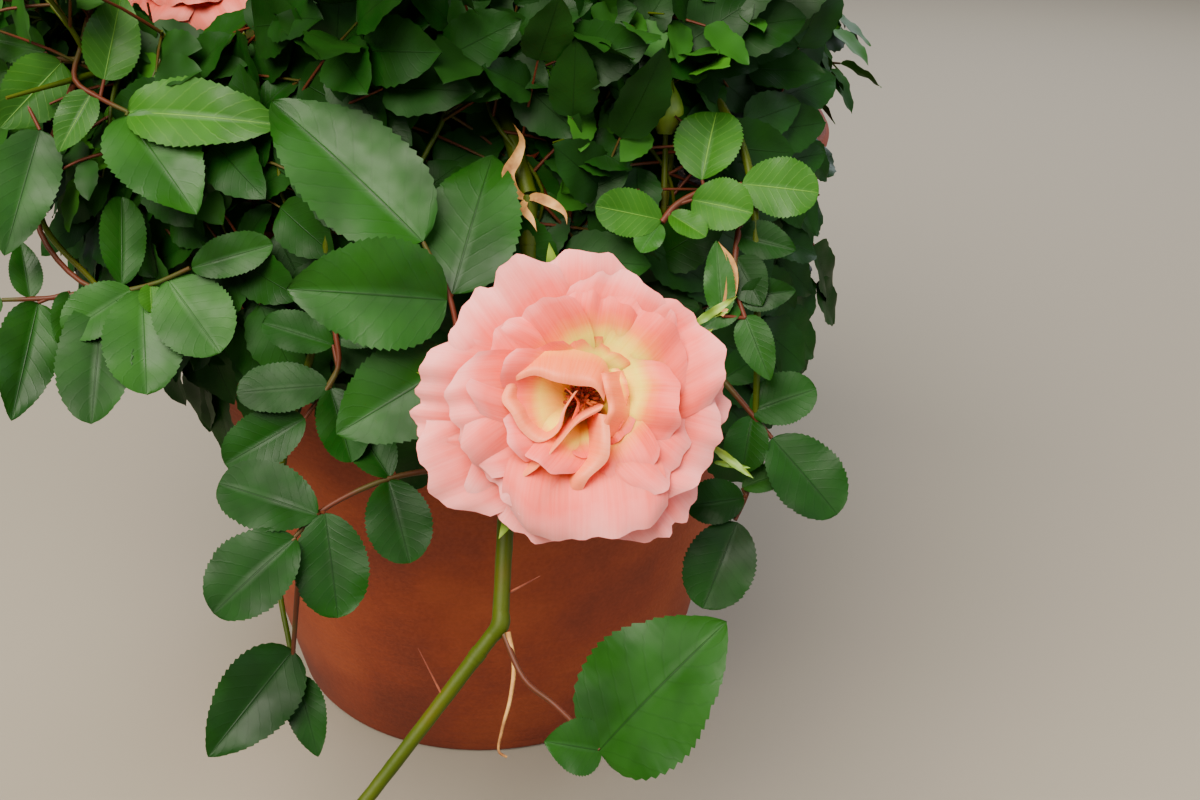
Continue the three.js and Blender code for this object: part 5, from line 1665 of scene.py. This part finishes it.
# %% The heart of the large bloom
FOLD_ROWS = 14
FOLDED_PETALS = [
    {"rim": [(9.5, -2.0, 10), (2.5, -6.0, 12), (-2.5, -11.5, 12.5), (-9, -18.5, 11), (-17, -23.5, 7.5)],
     "foot": [(7, -1, -2), (1, -3.5, -3), (-5, -8, -3), (-12, -14, -3), (-18, -19, -2)],
     "depth": 0.28, "roll": (-1.0, -1.3)},
    {"rim": [(8.5, -4.5, 10.5), (9.0, -11.5, 12), (8.2, -17.5, 12.5), (2.2, -23.5, 11), (1.0, -28, 8),
             (6, -31, 5.5)],
     "foot": [(5, -4, -2), (3, -10, -3), (0, -16, -3), (-4, -21, -2), (-6, -26, -1), (-2, -31, 0)],
     "depth": 0.26, "roll": (1.6, -0.4)},
    {"rim": [(-17.8, 5.1, 8.5), (-19.3, 0.7, 9.5), (-16.4, -3.5, 10), (-13.8, -8.3, 10), (-8.7, -12, 10.5),
             (-3.6, -9.6, 11), (-1.5, -3, 12), (2.3, 2.8, 13)],
     "foot": [(-10, 3, -3), (-11, 0, -3), (-10, -3, -4), (-8.5, -5, -4), (-6.5, -6, -4), (-4, -5, -4),
              (-2.5, -2, -4), (-1, 1, -3)],
     "depth": 0.28, "roll": (-1.2, -0.6)},
    {"rim": [(-16.5, 7.0, 9.5), (-11, 8.5, 11.5), (-5.0, 6.6, 12.5), (1.0, 5.4, 13), (6.5, 4.6, 12.5),
             (9.4, 0.6, 11)],
     "foot": [(-17.5, 9.5, 5), (-12, 13.2, 6), (-4.7, 15, 6.5), (3, 14.2, 6.5), (9.4, 11.6, 6),
              (12.2, 4.6, 5)],
     "depth": 0.34, "roll": (0.0, -1.2)},
    {"rim": [(9.6, 7.5, 11), (10.6, 2.4, 12), (11.6, -3.5, 12), (8.6, -9.6, 10.5)],
     "foot": [(16.5, 8.5, 1), (18.2, 2.0, 1.5), (18.6, -5.0, 1.5), (14, -13, 1)],
     "depth": 0.42, "roll": (-0.8, 0.0)},
    {"rim": [(-2.5, 3.0, 6), (1.0, -1.0, 7.5), (-0.5, -6.0, 8)],
     "foot": [(3.5, 1.5, -3), (4.5, -2.0, -3), (3.5, -6.5, -3)],
     "depth": 0.5, "roll": (0.4, 0.4)},
]


def add_folded_petal(pile, centre, axes, petal, seed):
    """A petal on edge, as a band from its foot line to its rim line, whose rim rolls over."""
    random = np.random.default_rng(seed)
    rim = smooth_path(petal["rim"], PETAL_COLUMNS * 2 - 1)
    foot = smooth_path(petal["foot"], PETAL_COLUMNS * 2 - 1)
    count = len(rim)
    share = np.linspace(0, 1, FOLD_ROWS)
    wave = 0.5 * np.sin(np.linspace(0, 15, count) + random.uniform(0, 6))
    rows = []
    for t in share:
        row = foot + (rim - foot) * (1 - (1 - t) ** 1.5)
        row[:, 2] = foot[:, 2] + (rim[:, 2] + wave * t - foot[:, 2]) * math.sin(0.5 * math.pi * t) ** 0.9
        over = max(0.0, t - 0.72) / 0.28
        row[:, 0] += petal["roll"][0] * over ** 1.6 * 1.3
        row[:, 1] += petal["roll"][1] * over ** 1.6 * 1.3
        row[:, 2] -= 0.9 * over ** 2.2
        rows.append(row)
    flat = np.concatenate(rows)
    right, up, out = axes
    points = np.array(centre) + flat[:, 0:1] * right + flat[:, 1:2] * up + flat[:, 2:3] * out
    uvs = np.stack([np.tile(np.linspace(0, 1, count), len(share)),
                    np.repeat(0.36 + 0.64 * share, count)], axis=1)
    pile.add(points, grid_faces(len(share), count), uvs, petal["depth"])


print("folded petals:", len(FOLDED_PETALS))

# %% [markdown]
# A small bloom is regular: four whorls of petals, smaller and steeper towards its middle. Every
# bloom has a bunch of stamens in its heart and five narrow sepals under it.

# %% Small blooms, stamens and sepals


def whorl(count, start, **petal):
    """Petals at even turns from a starting angle, each a little different."""
    made = []
    for i in range(count):
        sway = math.sin(7.3 * i + start)
        one = dict(petal, angle=start + 360 * i / count + 8 * sway)
        one["reach"] = petal["reach"] * (1 + 0.05 * math.sin(4.1 * i + start))
        one["base"] = petal["base"] + 0.8 * (i % 2)
        one["lean"] = 0.12 * sway
        made.append(one)
    return made


SMALL_BLOOM = (
    whorl(5, 0, reach=33, width=37, base=-9, slope=(44, 2), roll=30, ruffle=1.6, depth=0.0, glow=0.5)
    + whorl(5, 36, reach=28, width=30, base=-7, slope=(54, 12), roll=28, ruffle=1.6, depth=0.15)
    + whorl(5, 12, reach=21, width=23, base=-5, slope=(64, 26), roll=20, ruffle=1.4, depth=0.35, root=3)
    + whorl(4, 50, reach=13, width=15, base=-3, slope=(76, 44), roll=10, ruffle=0.9, depth=0.55, root=2)
)


def add_heart(pile, centre, axes, reach, count, seed):
    """Stamens round the bloom's middle, each a thread with an anther on its tip."""
    random = np.random.default_rng(seed)
    right, up, out = axes
    for i in range(count):
        turn = GOLDEN_ANGLE * i
        lean = reach * math.sqrt((i + 0.5) / count)
        sideways = right * math.cos(turn) + up * math.sin(turn)
        root = np.array(centre) - out * 6 + sideways * 0.4 * lean
        tip = np.array(centre) + out * random.uniform(2, 5.5) + sideways * lean
        add_tube(pile, [root, (root + tip) / 2 + sideways, tip], 0.28, 0.2, 4, 4)
        add_tube(pile, [tip - sideways * 0.9, tip + out * 0.5, tip + sideways * 0.9], 0.55, 0.5, 5, 2)


SEPAL_GRID = leaf_grid(16, 5, 4, 0.15)


def add_sepals(pile, centre, axes, radius, lift, start):
    """Five narrow pointed sepals under a bloom."""
    right, up, out = axes
    for i in range(5):
        turn = 2 * math.pi * i / 5 + start
        sideways = right * math.cos(turn) + up * math.sin(turn)
        root = np.array(centre) - out * 0.32 * radius + sideways * 3
        tip = np.array(centre) + sideways * radius + out * lift
        add_leaflet(pile, SEPAL_GRID, root, tip, out, 0.2, fold=0.3, droop=-0.12, wave=0.01, phase=i)


print("petals of a small bloom:", len(SMALL_BLOOM))

# %% [markdown]
# Now the blooms are put together. The large one looks to the front and a little up. The coral
# one at the picture's top and the three on the masses are made alike.

# %% The blooms
PETAL_SEED = 500
FOLD_SEED = 560
SMALL_PETAL_SEED = 700
HEART_SEED = 9
SMALL_HEART_SEED = 30
sepal_pile = Pile()
heart_pile = Pile()
petal_pile = Pile()
heart_petal_pile = Pile()
front_axes = axes_of(TO_FRONT)
HEART_RIGHT = 3.5
HEART_UP = -0.5
OUTER_LEFT = 1.8
OUTER_DOWN = 2.6
heart_place = BLOOM_CENTRE + Vector(front_axes[0]) * HEART_RIGHT + Vector(front_axes[1]) * HEART_UP
outer_place = heart_place - Vector(front_axes[0]) * OUTER_LEFT - Vector(front_axes[1]) * OUTER_DOWN
for number, petal in enumerate(OUTER_PETALS + MIDDLE_PETALS + INNER_PETALS):
    place = outer_place if petal in OUTER_PETALS else heart_place
    add_petal(petal_pile, place, front_axes, petal, PETAL_SEED + number)
for number, petal in enumerate(FOLDED_PETALS):
    add_folded_petal(heart_petal_pile, BLOOM_CENTRE, front_axes, petal, FOLD_SEED + number)
add_heart(heart_pile, heart_place - TO_FRONT * 1.0, front_axes, 5.5, 44, HEART_SEED)
add_sepals(sepal_pile, BLOOM_CENTRE, front_axes, 1.06 * BLOOM_RADIUS, -9, 0.45)
piece_from(petal_pile, "large_bloom_petals", pink_petal, ["bloom_shoot"], "petal")
piece_from(heart_petal_pile, "large_bloom_heart", heart_petal, ["bloom_shoot"], "petal")

small_blooms = [(CORAL_CENTRE, CORAL_FACING)] + [mass["seat"] for mass in MASSES if mass["bloom"]]
coral_pile = Pile()
for number, (seat, facing) in enumerate(small_blooms):
    axes = axes_of(facing)
    for index, petal in enumerate(SMALL_BLOOM):
        add_petal(coral_pile, seat, axes, petal, SMALL_PETAL_SEED + 40 * number + index)
    add_heart(heart_pile, seat, axes, 4, 20, SMALL_HEART_SEED + number)
    add_sepals(sepal_pile, seat, axes, 26, -8, number)
    add_tube(sepal_pile, [seat - facing * 15, seat - facing * 9, seat - facing * 4], 2.2, 4.5, 10, 6)
piece_from(coral_pile, "small_bloom_petals", coral_petal, ["coral_bloom_shoot"], "petal")
bloom_back = [BLOOM_CENTRE - TO_FRONT * behind for behind in (24, 16, 8)]
add_tube(sepal_pile, bloom_back, 2.6, 7.5, 12, 8)

# %% [markdown]
# Above the large bloom stands a green bud on its own stalk, wrapped in its sepals. Sepals of the
# large bloom reach past its petals.

# %% The bud, and the sepals beside the bloom
BUD_PLACE = Vector((77, -129, 302))
BUD_WAY = Vector((0.05, 0.2, 0.95)).normalized()
bud_axes = axes_of(BUD_WAY)
BUD_RADIUS = 6
BUD_SWELL = (0.42, 0.62, 0.86, 1.0, 0.97, 0.85, 0.66, 0.42, 0.14)
add_tube(sepal_pile, [BUD_PLACE - BUD_WAY * 4, BUD_PLACE + BUD_WAY * 5, BUD_PLACE + BUD_WAY * 14],
         BUD_RADIUS, BUD_RADIUS, 14, len(BUD_SWELL) - 1, profile=BUD_SWELL)
for i in range(5):
    turn = 2 * math.pi * i / 5
    sideways = bud_axes[0] * math.cos(turn) + bud_axes[1] * math.sin(turn)
    root = np.array(BUD_PLACE) - np.array(BUD_WAY) * 4 + sideways * 2.5
    tip = np.array(BUD_PLACE) + np.array(BUD_WAY) * (17 + 2 * (i % 2)) + sideways * 3.0
    add_leaflet(sepal_pile, SEPAL_GRID, root, tip, sideways, 0.36, fold=-0.5, droop=0.3)
# Four narrow sepals show past the bloom's petals on the right.
SEPALS_BESIDE = [((692, 326, 430), (737, 296, 425)), ((712, 446, 430), (753, 478, 424)),
                 ((714, 462, 430), (750, 468, 426)), ((700, 318, 431), (728, 312, 426))]
for number, (root_spot, tip_spot) in enumerate(SEPALS_BESIDE):
    add_leaflet(sepal_pile, SEPAL_GRID, seen_at(*root_spot), seen_at(*tip_spot), LOOK_BACK, 0.17,
                fold=0.4, droop=0.12, wave=0.03, phase=number)
piece_from(sepal_pile, "sepals_and_bud", sepal_skin, (), "leaf")
piece_from(heart_pile, "bloom_hearts", anther_skin, (), "leaf")

# %% [markdown]
# Dry things are thin and crooked: bracts that curl off the cane, the tendril that hangs from it,
# and the two bristles.

# %% Bracts, tendril and bristles
RIBBON_STEPS = 18
RIBBON_WIDTHS = (4.2, 3.4, 2.8, 4.0)


def add_ribbon(pile, places, width):
    """A narrow dry blade along a path, creased along its middle and pointed at its end."""
    path = smooth_path(places, RIBBON_STEPS)
    side = np.cross(np.gradient(path, axis=0), np.array(LOOK_BACK))
    side /= np.linalg.norm(side, axis=1)[:, None]
    share = np.linspace(0, 1, RIBBON_STEPS + 1)
    half = 0.5 * width * (0.2 + 0.8 * np.sin(math.pi * share ** 0.8)) * (1 - share ** 5)
    edge = side * half[:, None]
    crease = path - np.outer(0.5 * half, LOOK_BACK)
    points = np.stack([path - edge, crease, path + edge], axis=1).reshape(-1, 3)
    pile.add(points, grid_faces(RIBBON_STEPS + 1, 3), np.full((len(points), 2), 0.5))


dry_pile = Pile()
for spots, width in zip(DRIED_BRACTS, RIBBON_WIDTHS):
    add_ribbon(dry_pile, [seen_at(*spot) for spot in spots], width)
TENDRIL = [(508, 632, 448), (514, 665, 446), (510, 700, 443), (502, 730, 441), (499, 752, 440),
           (507, 757, 440)]
add_tube(dry_pile, [seen_at(*spot) for spot in TENDRIL], 0.9, 0.4, 6, 30)
piece_from(dry_pile, "dried_bracts", dry_skin, (), "leaf")

bristle_pile = Pile()
BRISTLES = [((510, 592, 452), (540, 576, 448)), ((443, 697, 446), (418, 648, 440))]
for root_spot, tip_spot in BRISTLES:
    root = seen_at(*root_spot)
    tip = seen_at(*tip_spot)
    add_tube(bristle_pile, [root, root.lerp(tip, 0.5), tip], 0.45, 0.12, 5, 6)
piece_from(bristle_pile, "cane_bristles", thorn_skin, (), "cane")

# %% [markdown]
# Daylight under an even sky is wide and soft. A large lamp stands in for the bright side of the
# sky, a second one fills the shade, a third one lights the leaf edges from behind, and the world
# gives the rest. The floor is plain and pale.

# %% Floor and light
FLOOR_SIZE = 6000
FLOOR_DROP = 0.5
LAMP_AIM = Vector((0, -100, 260))
SKY_STRENGTH = 0.34
deselect_all()
bpy.ops.mesh.primitive_plane_add(size=FLOOR_SIZE * MM, location=(0, 0, -FLOOR_DROP * MM))
floor = bpy.context.object
floor.name = "floor"
floor_paint, tree, shader = new_material("floor, pale plaster", Roughness=0.9)
shader.inputs["Base Color"].default_value = colour("#8f8777")
floor.data.materials.append(floor_paint)


def soft_light(name, place, size, power, tint):
    """A square lamp in mm that looks at the bloom."""
    data = bpy.data.lights.new(name, "AREA")
    data.size = size * MM
    data.energy = power
    data.color = colour(tint)[:3]
    lamp = bpy.data.objects.new(name, data)
    lamp.location = Vector(place) * MM
    way = (LAMP_AIM - Vector(place)).normalized()
    lamp.rotation_euler = way.to_track_quat("-Z", "Y").to_euler()
    bpy.context.scene.collection.objects.link(lamp)


soft_light("sky_light", (-450, -900, 1600), 1300, 92, "#fff6ea")
soft_light("fill_light", (1300, -900, 900), 1400, 12, "#f4f6ff")
soft_light("back_light", (700, 1300, 1200), 1300, 26, "#eef3ff")
world = bpy.data.worlds.new("soft daylight")
world.use_nodes = True
world.node_tree.nodes["Background"].inputs["Color"].default_value = colour("#e6ebf0")
world.node_tree.nodes["Background"].inputs["Strength"].default_value = SKY_STRENGTH
bpy.context.scene.world = world
print("lights:", len(bpy.data.lights))
